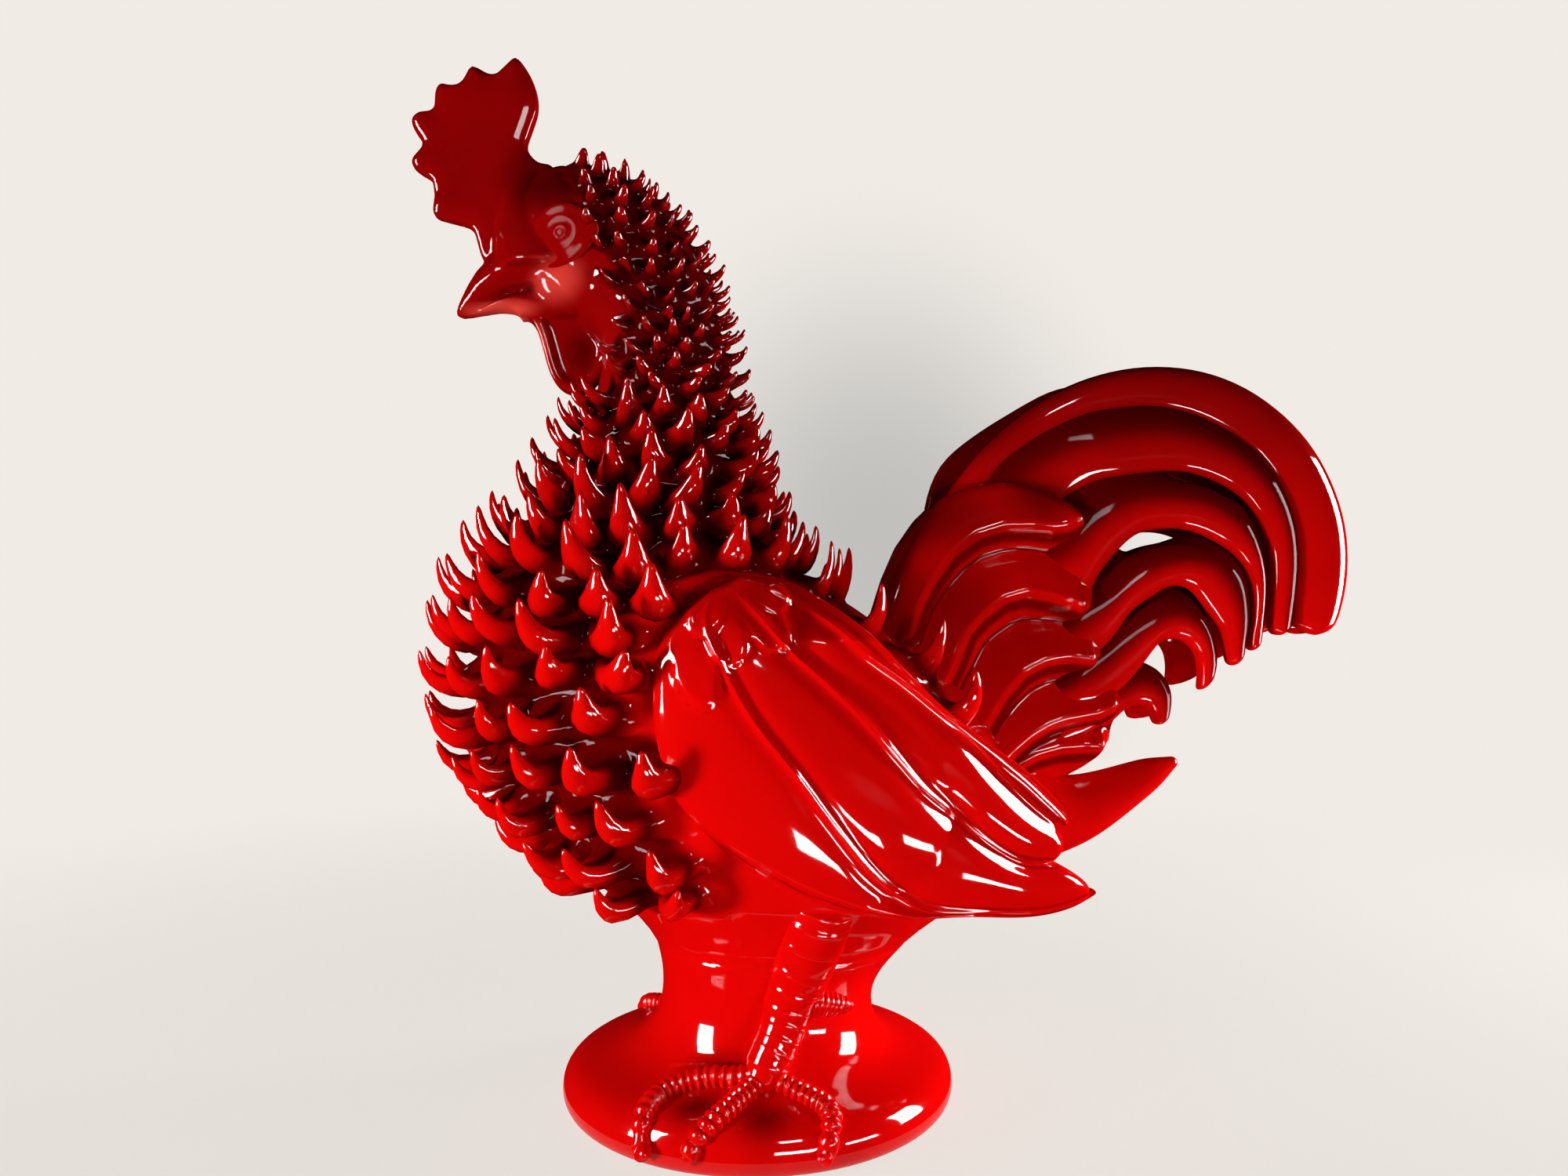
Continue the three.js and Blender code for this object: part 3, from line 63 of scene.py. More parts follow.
# Rows of pinched spikes: lower edge, upper edge and how many stand in the row.
BODY_ROWS = (
    (66.4, 78.0, 18), (79.6, 91.4, 20), (93.0, 105.6, 22), (107.2, 120.6, 24), (122.2, 136.2, 25),
    (137.8, 152.0, 26), (153.6, 168.0, 26), (169.6, 183.8, 26), (185.4, 199.0, 25),
    (200.6, 212.6, 23), (214.2, 225.0, 21), (226.4, 236.0, 19),
)
NECK_ROWS = (
    (237.4, 248.4, 17), (249.8, 260.0, 16), (261.4, 270.6, 16), (272.0, 280.2, 16),
    (281.6, 289.2, 17), (290.6, 297.6, 17), (299.0, 305.6, 17), (307.0, 313.4, 18),
)
HEAD_ROWS = (
    (314.8, 321.8, 19), (323.2, 330.2, 20), (331.6, 338.8, 21), (340.2, 347.2, 21),
    (348.6, 355.2, 20), (356.6, 362.8, 19), (364.0, 369.6, 17), (370.8, 375.4, 14),
    (376.4, 379.8, 10),
)
# Spike length by height.
SPIKE_LENGTH = (
    (66, 21), (100, 22), (150, 21), (205, 18.5), (235, 15.5), (262, 13), (290, 9.6), (345, 8),
    (362, 7), (380, 5.5),
)
# How far forward spikes stand on the head, and how far back on the flank beside the wing.
FACE_LIMIT = (
    (236, -150), (286, -150), (290, -60), (304, -58), (318, -60), (330, -62), (345, -66),
    (360, -68), (372, -72), (383, -76),
)
WING_LIMIT = (
    (80, -21), (90, -21), (104, -22), (120, -27), (135, -37), (152, -40), (172, -40), (188, -39),
    (199, -32), (206, -25), (212, 60), (240, 60),
)
LOWEST_SPIKE = 88
# Spikes on the back: above one height in a strip on each side, above the next right across.
BACK_SPIKES = {"low": 158, "full": 203, "inner": 31, "outer": 47}
# One pinched spike, from root to tip, in shares of its length and of its cell's width:
# how far out, how far up, lean in degrees, half width, keel depth and hollow depth.
BODY_CLAW = (
    (0.12, -0.10, 2, 0.47, 0.46, 0.26),
    (0.46, -0.09, 26, 0.35, 0.37, 0.19),
    (0.78, 0.12, 54, 0.19, 0.21, 0.12),
    (0.90, 0.54, 78, 0.05, 0.055, 0.045),
)
NECK_CLAW = (
    (0.08, -0.08, 0, 0.44, 0.38, 0.26),
    (0.46, -0.06, 20, 0.33, 0.31, 0.20),
    (0.80, 0.14, 50, 0.18, 0.19, 0.13),
    (0.92, 0.50, 72, 0.055, 0.06, 0.05),
)
HEAD_CLAW = (
    (0.04, -0.06, 0, 0.29, 0.25, 0.20),
    (0.44, -0.05, 18, 0.24, 0.21, 0.16),
    (0.80, 0.08, 48, 0.17, 0.155, 0.12),
    (0.92, 0.38, 72, 0.085, 0.08, 0.07),
)
# Each claw serves up to a height.
CLAWS = ((240, BODY_CLAW), (284, NECK_CLAW), (400, HEAD_CLAW))
# Shares of a claw: hollow at its middle, keel at its sides and width of its upper edge.
CLAW_CUT = {"middle": 0.35, "sides": 0.18, "upper": 0.80}
# How deep the glaze pools and how dark its painted shade is, up to a share of the claw's length.
CLAW_POOL_AND_SHADE = ((0.13, 1.0), (0.5, 0.42), (1.0, 0.1))
SEED = 11
SPIKE_WANDER = {"length": 0.20, "lean": 0.32, "root": 0.09, "hollow": 0.35}
# How the rows of spikes rise and fall around the body: size, waves round, waves per height.
ROW_WANDER = ((2.6, 3, 0.045), (1.8, 5, -0.08), (1.0, 8, 0.11))
# Depth of the hollows between spikes by height.
HOLLOW_DEPTH = ((66, 3.0), (110, 4.4), (220, 4.2), (270, 2.4), (320, 1.6), (380, 1.0))
# How much shorter the spikes are that point backwards.
REAR_SHORTENING = {"body": 0.36, "above": 0.1}
NECK_SEAM = 236
# No spikes under the tail, up to a distance from the middle, nor under the wings, beyond one.
TAIL_PLACE = ((104, 118), (60, 172), (40, 196), (62, 236), (110, 262), (180, 180))
UNDER = {"tail": 22, "wing": 30}
# Rings of the stem and foot, downwards; the ring that the foot stands on; the firing vent.
STEM_STEPS = 44
STEM_HEIGHTS = (
    66, 61, 56, 50, 45, 40, 35.5, 31.5, 28, 25.5, 23.6, 22.2, 20.8, 19, 16.5, 13, 9, 5.5, 3, 1.2,
    0.0,
)
FOOT_RING = 60
VENT = {"x": 24, "radius": 4, "deep": 9, "steps": 22}
# Outline of the comb and of the wattle, X and height.
COMB = (
    (-81, 372), (-82.5, 382.5), (-87.6, 383.6), (-91.1, 386.3), (-93.2, 391), (-91, 398),
    (-88.6, 406), (-88.9, 412.6), (-92, 420.4), (-97.3, 426.9), (-101.1, 423.9), (-106.2, 419.2),
    (-111, 421), (-115.4, 422.6), (-118.2, 417.3), (-121.6, 414.1), (-128, 414.9),
    (-129.9, 409.7), (-130.3, 404.2), (-136.5, 402.8), (-139.3, 399.3), (-137, 394.3),
    (-134.1, 389.9), (-136.9, 386.5), (-139.4, 382), (-135.2, 378.2), (-131, 375.6),
    (-130, 368.4), (-130.6, 361.5), (-124.8, 359.3), (-115.5, 356.6), (-113, 350.5),
    (-110.6, 343.5), (-103, 338), (-92, 340), (-84, 352),
)
COMB_THICKNESS = 8.0
WATTLE = (
    (-98, 322.5), (-92.5, 320), (-89.2, 315.2), (-87.2, 309), (-85.6, 303), (-83.6, 296.8),
    (-80.6, 292.3), (-76.9, 289.9), (-72.5, 289.3), (-68.5, 290.6), (-64.2, 295), (-60.8, 302),
    (-60, 310), (-62, 318), (-70, 326), (-84, 329),
)
WATTLE_THICKNESS = 13
# Beak sections: X, lower edge, upper edge and half width.
UPPER_BEAK = (
    (-121.6, 320.4, 323.4, 1.6), (-120.2, 319.8, 327, 3.2), (-117, 321, 333.6, 5.4),
    (-113, 323, 340, 8), (-107, 326.2, 345.5, 11), (-99, 330, 349, 13.8), (-89, 332, 350, 15),
    (-78, 333, 350, 13),
)
LOWER_BEAK = (
    (-119, 319.2, 320.6, 1.6), (-116.5, 319.8, 321.4, 3), (-111, 321.3, 324, 5.6),
    (-104.5, 322.8, 327.4, 8.4), (-97, 322.4, 330.2, 11), (-90, 319.5, 331.5, 12),
    (-82, 318, 331, 11), (-76, 320, 330, 9),
)
# Bare face: lowest ring, the steps up to the highest, how proud of the skin, how deep it dives.
FACE = {"from": 303, "step": 3.9, "rings": 21, "proud": 0.5, "dive": 2.4}
# Eye: middle, height over length, and how far its rim is drawn to a point.
EYE = {"x": -77.8, "z": 347.2, "height": 0.92, "point": 0.22}
# Rings of the eye, from its rim to the pupil: radius and rise above the cheek.
EYE_RINGS = (
    (13.6, -1.0), (12.6, 0.85), (11.6, 1.45), (10.6, 1.5), (9.4, 1.1), (7.6, 1.05), (6.9, 1.3),
    (6.2, 1.32), (5.4, 1.02), (4.2, 1.0), (3.4, 1.2), (2.7, 1.6), (1.9, 1.5), (1.1, 1.05),
    (0.5, 1.0),
)
# Flare of the brow that carries the comb into the head: height, front, rear and half width.
BROW = (
    (338, -106, -64, 26), (350, -107, -68, 20), (361, -106, -74, 13.5), (371, -104, -80, 8.6),
    (379, -101, -86, 6.2), (386, -98, -91, 4.6),
)
# Cheek: middle (X, height), half length, height and depth, turn in degrees, and how far its
# middle is set into the skin.
CHEEK = {"x": -79.0, "z": 329.5, "long": 12.5, "high": 7.5, "turn": -42, "deep": 7.5, "set": 4.6}
# Grain of the clay where comb, beak, wattle and face are worked together, and the strokes.
JOINING = {"grain": 0.85, "strokes": 22}
# Rear point: X, height and radius.
REAR_POINT = (
    (82, 113, 34), (95, 113.5, 29.5), (108, 113.6, 24.2), (122, 113.2, 19.2), (135, 114.3, 15.4),
    (148, 119, 12.2), (160, 124.6, 9.4), (170, 129.3, 7.2), (176, 132, 5.2), (179.5, 133.6, 2.8),
)
# Five lines along the wing, from its lower edge to its upper edge, X and height.
WING_LINES = (
    ((-23, 208), (-32, 199.5), (-40, 188.5), (-42.3, 172), (-40.5, 152), (-34, 133.5), (-19, 116),
     (3, 101), (25, 91), (48, 86.8), (72, 85.8), (98, 83), (115, 83.8), (126, 87.6)),
    ((-21, 209.3), (-24, 197), (-19, 183), (-8, 163), (7, 143.7), (20, 126), (35, 107.5),
     (48.8, 95.7), (60, 90.5), (80, 88), (105, 86), (126.4, 89)),
    ((-17, 211), (-8, 203), (5.6, 187), (18.7, 175), (32, 162), (44, 148), (54, 136.5),
     (66, 126.3), (80, 114.5), (94, 106), (108.8, 103.6)),
    ((-13, 213), (2, 208), (21.9, 196), (34, 185), (50, 173.3), (72, 153.8), (86, 139),
     (100.5, 125.7), (110.5, 118.5)),
    ((-10.6, 214.2), (8.4, 211.3), (17, 207), (28.5, 199.3), (37, 192.2), (46, 183),
     (61.5, 167.5), (75, 156.5), (88.3, 147), (101.5, 137.4), (112, 127.5), (116, 122)),
)
# Wing: height at its edge and middle, clay below, roundness of edge and feather tips, length.
WING_EDGE = 1.6
WING_CROWN = 5.5
WING_WALL = 7.5
WING_RIM = 4.0
WING_TIP_ROUND = 4.5
WING_LENGTH = 130
# Half width of the figure over the wings, and how it narrows backwards and upwards.
WING_SPREAD = {"start": 20, "half": 66, "lean": 0.1, "curve": 0.0012, "top": 190, "fall": 0.9}
# Where the lowest feather of the wing ends over the one behind it: travel and share of its width.
WING_LEAF_END = ((0.30, 0.0), (0.42, 0.10), (0.52, 0.17), (0.62, 0.30), (0.70, 0.55), (0.76, 0.95),
                 (0.80, 1.3))
# Short shoulder feathers: root X and height, end X and height, half width.
SHOULDER = (
    (-31, 193, -23.6, 167.6, 7.2), (-20, 200, -13.6, 181.8, 7.2), (-8, 206, 3.6, 187, 7),
    (-22, 208, -26, 192, 6), (-6, 211, 6, 201.5, 5.4),
)
# Long tail feathers: outer edge and inner edge (X, height), depth of the crest from the middle
# plane, the profile, and the part of the length where the tail is pierced outside the feather.
FEATHERS = (
    ((
        (69.1, 226.7), (73.2, 239), (80, 249.8), (90.9, 263.2), (100.9, 273.7), (110.9, 282),
        (123.5, 290.3), (140.4, 298.3), (157.2, 303), (171.4, 304.7), (188.5, 303.9), (204.1, 300),
        (217.8, 293.6), (230.9, 284.1), (241.3, 273.4), (249, 261.9), (255, 248.6), (258.4, 236.9),
        (259.6, 224.3), (259, 211.9), (256.3, 199.7), (252.2, 191.9), (248.8, 188.2),
    ), (
        (104, 222), (100, 240), (100, 256), (109.8, 265.5), (122.8, 273.8), (139.2, 281.3),
        (155.7, 284.6), (168.1, 285.4), (181.9, 283.6), (193.5, 279.3), (206.1, 272.6),
        (216.9, 263.8), (224.8, 252.8), (230, 239.9), (232, 227.9), (232.4, 219.7), (231.5, 211.6),
        (230.2, 196.6), (233.6, 188.4),
    ), 12.5, "rim", None),
    ((
        (86, 224), (87, 240), (93, 256), (107, 268), (122, 276.5), (139.2, 284), (155.7, 285.4),
        (168.1, 286.4), (181.9, 284.6), (193.5, 280.3), (206.1, 273.6), (216.9, 264.8),
        (225.3, 253.5), (231.1, 239.9), (233.1, 227.9), (233.4, 219.7), (232.5, 211.6), (231, 200),
        (228, 189.5),
    ), (
        (124, 222), (128, 240), (138.6, 250.7), (147.6, 254.7), (155, 255.9), (164.1, 257),
        (174.8, 257.9), (184.9, 257.1), (193.2, 254.4), (201.6, 250.4), (208.3, 245.7),
        (214.9, 236), (219, 223.9), (219.3, 211.7), (217.9, 199.6), (217.8, 191.5), (221, 187.6),
    ), 15.5, "sickle", None),
    ((
        (104, 214), (118, 230), (130, 240), (142, 251), (155, 255.6), (165, 255.6), (172, 255),
        (178.2, 254.6), (186.5, 253.3), (194.9, 250.7), (204, 245), (211, 236.5), (215.6, 224),
        (216.8, 211.7), (215.8, 199), (215, 190), (213.6, 183),
    ), (
        (108, 194), (124, 199), (137.3, 204.5), (143, 214), (151.4, 224.3), (159.7, 231.4),
        (168.9, 233), (178, 233.4), (186.2, 231.4), (193, 228.2), (201.3, 223.4), (207.1, 216),
        (209.7, 207.6), (209.4, 196), (207.4, 187.5), (207.6, 181.2),
    ), 17.5, "sickle", (0.5, 0.61)),
    ((
        (106, 186), (122, 196), (134, 205), (143, 210), (151, 216.6), (158, 222), (166.6, 226),
        (177.4, 227.8), (188.8, 226.5), (196.2, 224.1), (203, 219), (207.8, 210.6), (208.8, 196),
        (207, 186), (205.4, 178),
    ), (
        (112, 170), (128, 177), (140, 180), (148.7, 188.9), (155.6, 198.5), (165.2, 205),
        (170.9, 208.8), (175.5, 209.4), (180, 208.6), (183.9, 205), (189.3, 197.7), (194.1, 190.7),
        (196.2, 180), (198.6, 174.6),
    ), 19.5, "sickle", (0.42, 0.54)),
    ((
        (110, 166), (126, 175), (138, 184), (148, 192), (157, 198.6), (163, 202.2), (168.6, 204),
        (174.3, 204.7), (181.7, 203.3), (187.4, 198.6), (191.8, 191), (193.6, 182), (193.4, 175),
        (190.4, 168),
    ), (
        (114, 152), (130, 158), (142, 160), (153, 168), (162.2, 179), (166.2, 184.7), (171.4, 187),
        (175.3, 187.3), (179.8, 185), (183.2, 180.4), (184.4, 173.8), (183.6, 164.6),
    ), 20, "sickle", (0.41, 0.48)),
    ((
        (112, 150), (126, 159), (138, 168), (150, 174.5), (161.6, 177.3), (166.1, 176.2),
        (170.5, 173.2), (173.9, 167.7), (174.7, 163.1), (173.8, 156.6), (171.6, 152.8),
    ), (
        (114, 136), (126, 143), (136, 146), (146, 151.5), (152, 157), (157, 159.8), (160.6, 159.6),
        (163, 157.4), (165, 153), (167, 150.8),
    ), 18, "sickle", (0.55, 0.97)),
)
# Profiles of the feathers, from the outer edge over the crest and back inside: share of the width,
# depth as a share of the crest and a change in millimetres, and how deep the glaze pools and its
# painted shade darkens.
PROFILES = {
    "rim": (
        (0, 0, 0.2, 0.2), (0, 0.12, 0, 0.2), (0.03, 0.36, 0, 0.05), (0.10, 0.63, 0, 0),
        (0.21, 0.84, 0, 0), (0.35, 0.96, 0, 0), (0.5, 1, 0, 0),
        (0.65, 1, -0.2, 0), (0.85, 1, -0.9, 0.1), (0.95, 1, -2.4, 0.4), (1, 1, -5, 0.8),
        (0.97, 1, -8, 1), (0.6, 1, -9, 1), (0.3, 0, 0.2, 1),
    ),
    "sickle": (
        (0, 0, 2.5, 1), (0, 1, -6.4, 0.85), (0.05, 1, -4.4, 0.5), (0.15, 1, -2.4, 0.2),
        (0.32, 1, -0.8, 0), (0.55, 1, 0, 0), (0.78, 1, -0.2, 0), (0.92, 1, -1.6, 0.1),
        (1, 1, -4.4, 0.5), (0.95, 1, -7.5, 1), (0.5, 1, -9, 1), (0, 0, 0.5, 1),
    ),
}
# Ridges of the short feathers over the root of the tail, X and height, with their depth and how
# far the feather falls away above the ridge.
TAIL_RIDGES = (
    (((59.7, 191.7), (63, 201.2), (68.7, 212.3), (77.7, 224.2), (88.4, 232), (99.9, 235.6),
      (113, 235.8), (121.3, 234.8), (127.5, 235.6), (132, 237.5)), 21, 5.0),
    (((73.9, 170.2), (78.4, 179.7), (82.9, 191.2), (89.5, 198.6), (99.4, 205.8), (109.2, 208.5),
      (120.7, 206.5), (131.9, 202.3)), 22.5, 10.5),
    (((87.5, 147.8), (94.1, 158.9), (99, 166.7), (107.3, 175.4), (116.4, 179.9), (125.5, 181.5),
      (136, 180.4)), 22.5, 10.5),
    (((95.8, 135.6), (103.2, 143.1), (110.7, 149.1), (117.3, 153), (123.9, 155.4),
      (132.2, 156.8), (139.7, 157.9), (145.5, 161)), 21.5, 9.5),
    (((92, 128), (104, 136), (114, 141), (124, 143.5), (133, 144), (141, 144)), 18.5, 7.0),
)
# Edges of the root of the tail, X and height, and how rounded its rim is.
TAIL_ROOT_LEFT = (
    (80, 118), (60, 150), (46, 188), (51, 201), (54.8, 213), (61, 227), (69.2, 238.5),
    (78.2, 247.1), (88.5, 251.6), (101, 253.4),
)
TAIL_ROOT_RIGHT = (
    (112, 118), (128, 126), (138, 133), (143, 138), (147.5, 144), (150.5, 151), (152, 158),
    (151.5, 164), (153, 172), (154, 182), (152, 203), (148, 215), (143, 225), (139, 232),
    (136, 238), (134.5, 240), (129.5, 244.5), (122, 249), (112.6, 252), (104, 253.4),
)
TAIL_ROOT_RIM = 5.0
# Further than any place on the hen.
FAR = 999.0
# Heights of the rings on the leg.
LEG_RINGS = (86, 78.5, 68, 58.5, 51, 46, 41, 36, 31)
# Leg in relief on the stem: X, Y, height and radius.
LEG = (
    (19.5, -56, 92, 12.4), (17.5, -54, 84, 12.2), (14.5, -50, 72, 11.4), (11.5, -47, 62, 10.4),
    (8.5, -46, 53, 9.2), (6, -46.5, 45, 8.2), (3, -47.5, 38, 7.8), (0, -49, 32, 7.8),
    (-2.5, -50, 26, 7),
)
# Toes laid on the foot, X and Y.
TOES = (
    ((-2, -50), (-12, -50), (-22, -47.5), (-32, -47), (-41, -51), (-46.5, -60), (-47, -66.5),
     (-46, -70)),
    ((-3, -51), (-11, -59), (-18, -67), (-25, -72.5), (-31.5, -74.5)),
    ((-2, -50), (5, -54), (12, -58.5), (18, -64.5), (20.5, -71), (18.5, -77.5), (15.5, -80.4)),
)
# Toe: its line over the foot, its radius, its ridges and how much thinner its end is.
TOE = {"over": 0.9, "radius": 2.9, "ridge": 1.8, "ridge_apart": 3.6, "taper": 1.1}
# Spur: root and tip, radius at the root, how much thinner the tip is, and its rings.
SPUR = {
    "ends": ((14, -47.5, 53.5), (30.5, -46.5, 51)),
    "radius": 5.6, "taper": 3.0, "ring": 0.45, "rings": 8,
}


def clamp(value):
    return min(1.0, max(0.0, value))


def along(table, value):
    """Smooth reading of a table whose first column rises."""
    i = 0
    while i < len(table) - 2 and value > table[i + 1][0]:
        i += 1
    start, end = table[i], table[i + 1]
    span = end[0] - start[0]
    t = clamp((value - start[0]) / span)

    def slope(j, column):
        before, after = table[max(0, j - 1)], table[min(len(table) - 1, j + 1)]
        return (after[column] - before[column]) / (after[0] - before[0])

    return [
        (2 * t**3 - 3 * t**2 + 1) * start[c]
        + (t**3 - 2 * t**2 + t) * span * slope(i, c)
        + (3 * t**2 - 2 * t**3) * end[c]
        + (t**3 - t**2) * span * slope(i + 1, c)
        for c in range(1, len(start))
    ]


def straight(table, value):
    """Straight-line reading of a two-column table."""
    for (low, a), (high, b) in zip(table, table[1:]):
        if value <= high:
            return a + (b - a) * max(0.0, (value - low) / (high - low))
    return table[-1][1]


def even_line(points, count):
    """The same number of evenly spaced places on a smooth line through some points."""
    points = [Vector(p) for p in points]
    ends = [2 * points[0] - points[1], *points, 2 * points[-1] - points[-2]]
    fine = []
    for a, b, c, d in zip(ends, ends[1:], ends[2:], ends[3:]):
        for step in range(12):
            t = step / 12
            fine.append(
                0.5 * (2 * b + (c - a) * t + (2 * a - 5 * b + 4 * c - d) * t**2
                       + (3 * b - a - 3 * c + d) * t**3)
            )
    fine.append(points[-1])
    reach = [0.0]
    for a, b in zip(fine, fine[1:]):
        reach.append(reach[-1] + (b - a).length)
    line = []
    place = 0
    for i in range(count):
        goal = reach[-1] * i / (count - 1)
        while place < len(reach) - 2 and reach[place + 1] < goal:
            place += 1
        share = (goal - reach[place]) / max(1e-9, reach[place + 1] - reach[place])
        line.append(fine[place].lerp(fine[place + 1], min(1.0, share)))
    return line


def side_line(points, count):
    """An even line in the middle plane, through some places given by X and height."""
    return even_line([(x, 0, z) for x, z in points], count)


def length_of(line):
    return sum((b - a).length for a, b in zip(line, line[1:]))


def soft_step(low, high, value):
    t = clamp((value - low) / (high - low))
    return t * t * (3 - 2 * t)


def bell(value, middle, width):
    """1 at the middle, falling away softly on both sides."""
    return math.exp(-(((value - middle) / width) ** 2))


def circle(count):
    """Angles of evenly spaced places round a circle."""
    return [2 * math.pi * k / count for k in range(count)]


# Modelling helpers: every shape below is rings, bridged, drawn out and rounded.


def ring_of(bm, points):
    """A closed ring of vertices on the given places."""
    made = bmesh.ops.create_circle(bm, radius=1.0, segments=len(points))["verts"]
    made.sort(key=lambda v: math.atan2(v.co.y, v.co.x) % (2 * math.pi))
    for vert, point in zip(made, points):
        vert.co = point
    return made


def level_ring(bm, middle, radius, height, steps):
    """A round ring of vertices, level with the table."""
    return ring_of(bm, [
        Vector((middle + radius * math.cos(angle), radius * math.sin(angle), height))
        for angle in circle(steps)
    ])


def edges_round(bm, ring):
    return [bm.edges.get(pair) for pair in zip(ring, ring[1:] + ring[:1])]


def bridge(bm, low, high):
    bmesh.ops.bridge_loops(bm, edges=edges_round(bm, low) + edges_round(bm, high))


def close_ring(bm, ring):
    return bmesh.ops.contextual_create(bm, geom=edges_round(bm, ring))["faces"]


def loft(bm, sections):
    """A skin through a list of rings of places, with both ends closed."""
    rings = [ring_of(bm, section) for section in sections]
    for low, high in zip(rings, rings[1:]):
        bridge(bm, low, high)
    close_ring(bm, rings[0])
    close_ring(bm, rings[-1])


def drawn_out(bm, faces):
    """Draws faces out of a surface and returns the vertices that are to be moved."""
    drawn = bmesh.ops.extrude_face_region(bm, geom=faces)["geom"]
    return [v for v in drawn if isinstance(v, bmesh.types.BMVert)]


def placed(name, data):
    """A new object of the scene, for a mesh, a lens or a lamp."""
    thing = bpy.data.objects.new(name, data)
    bpy.context.collection.objects.link(thing)
    return thing


def made_of(name, bm, material):
    """A new object of the scene, from a finished bmesh."""
    mesh = bpy.data.meshes.new(name)
    bm.to_mesh(mesh)
    bm.free()
    mesh.materials.append(material)
    return placed(name, mesh)


def glazed_piece(name, shape, nodes, glaze, levels=1, mirror=False):
    """Models a piece in millimetres, puts it in the scene and lets it stand for CAD nodes."""
    bm = bmesh.new()
    shape(bm)
    if mirror:
        bmesh.ops.scale(bm, vec=(1, -1, 1), verts=bm.verts)
    bmesh.ops.scale(bm, vec=(MM, MM, MM), verts=bm.verts)
    bmesh.ops.recalc_face_normals(bm, faces=bm.faces)
    for face in bm.faces:
        face.smooth = True
    piece = made_of(name, bm, glaze)
    if levels:
        smooth = piece.modifiers.new("rounding", "SUBSURF")
        smooth.levels = smooth.render_levels = levels
    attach(piece, "root")
    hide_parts(*nodes)
    return piece


# Glaze.


class Wire:
    """One output socket in a material, so that shader maths reads as Python expressions."""

    def __init__(self, bench, socket):
        self.bench = bench
        self.socket = socket

    def maths(self, operation, first, second):
        values = {0: first, 1: second}
        return self.bench.node("ShaderNodeMath", {"operation": operation}, values)

    def __add__(self, other):
        return self.maths("ADD", self, other)

    def __sub__(self, other):
        return self.maths("SUBTRACT", self, other)

    def __rsub__(self, other):
        return self.maths("SUBTRACT", other, self)

    def __mul__(self, other):
        return self.maths("MULTIPLY", self, other)

    __radd__ = __add__
    __rmul__ = __mul__

    def between(self, low, high):
        """0 below low, 1 above high, with a soft ramp between them."""
        settings = {"interpolation_type": "SMOOTHSTEP"}
        values = {"Value": self, "From Min": low, "From Max": high}
        return self.bench.node("ShaderNodeMapRange", settings, values)


class Bench:
    """Lays out one material or world."""

    def __init__(self, owner):
        owner.use_nodes = True
        self.tree = owner.node_tree
        self.tree.nodes.clear()

    def node(self, kind, settings=None, values=None, output=0):
        made = self.tree.nodes.new(kind)
        for name, value in (settings or {}).items():
            setattr(made, name, value)
        for name, value in (values or {}).items():
            if isinstance(value, Wire):
                self.tree.links.new(value.socket, made.inputs[name])
            else:
                made.inputs[name].default_value = value
        return Wire(self, made.outputs[output]) if made.outputs else None

    def surface(self, shader, of="Material"):
        self.node("ShaderNodeOutput" + of, values={"Surface": shader})

    def blend(self, factor, start, end):
        """Colour that goes from start to end with the factor."""
        settings = {"data_type": "RGBA", "clamp_factor": True}
        return self.node("ShaderNodeMix", settings, {0: factor, 6: start, 7: end}, output=2)

    def place(self):
        return self.node("ShaderNodeTexCoord", output="Object")

    def noise(self, place, scale, detail=2.0, roughness=0.5):
        values = {"Vector": place, "Scale": scale, "Detail": detail, "Roughness": roughness}
        return self.node("ShaderNodeTexNoise", {"noise_dimensions": "3D"}, values)

    def length(self, vector):
        return self.node("ShaderNodeVectorMath", {"operation": "LENGTH"}, {0: vector}, output=1)

    def spot(self, place, middle, size):
        """1 in the middle of an egg-shaped spot, going softly to 0 at its edge."""
        for operation, by in (("SUBTRACT", middle), ("DIVIDE", size)):
            place = self.node("ShaderNodeVectorMath", {"operation": operation}, {0: place, 1: by})
        return self.length(place).between(1.0, 0.1)


# Reds of the glaze. The deep red is painted shade on the upper parts, and the bright red is painted
# light on the lower parts.
DEEP_RED = (0.20, 0.0006, 0.0010, 1)
BRIGHT_RED = (0.78, 0.0012, 0.0010, 1)
THIN_RED = (0.92, 0.030, 0.006, 1)
# Reds of pooled glaze and of painted shade, in creases and in the hollows between the spikes.
POOLED_SHADE_RED = (0.10, 0.0005, 0.0008, 1)
HOLLOW_SHADE_RED = (0.045, 0.0002, 0.0004, 1)
# Pink of painted sheen and highlight on the face.
PAINTED_SHEEN_PINK = (0.90, 0.075, 0.055, 1)
CLAY = (0.66, 0.50, 0.38, 1)
DARK_CLAY = (0.52, 0.38, 0.28, 1)
# Heights in metres between which the red is painted from deep at the top to bright below, as
# painted shade and light, and where the glaze ends.
PAINTED_SHADE_HEIGHTS = (0.33, 0.15)
BARE_FOOT = (0.0011, 0.0004)
# Pointiness of an edge where the glaze runs thin, and of a crease where it pools and which is also
# painted darker as shade.
THIN_EDGE = (0.53, 0.60)
POOLED_SHADE_CREASE = (0.49, 0.44)

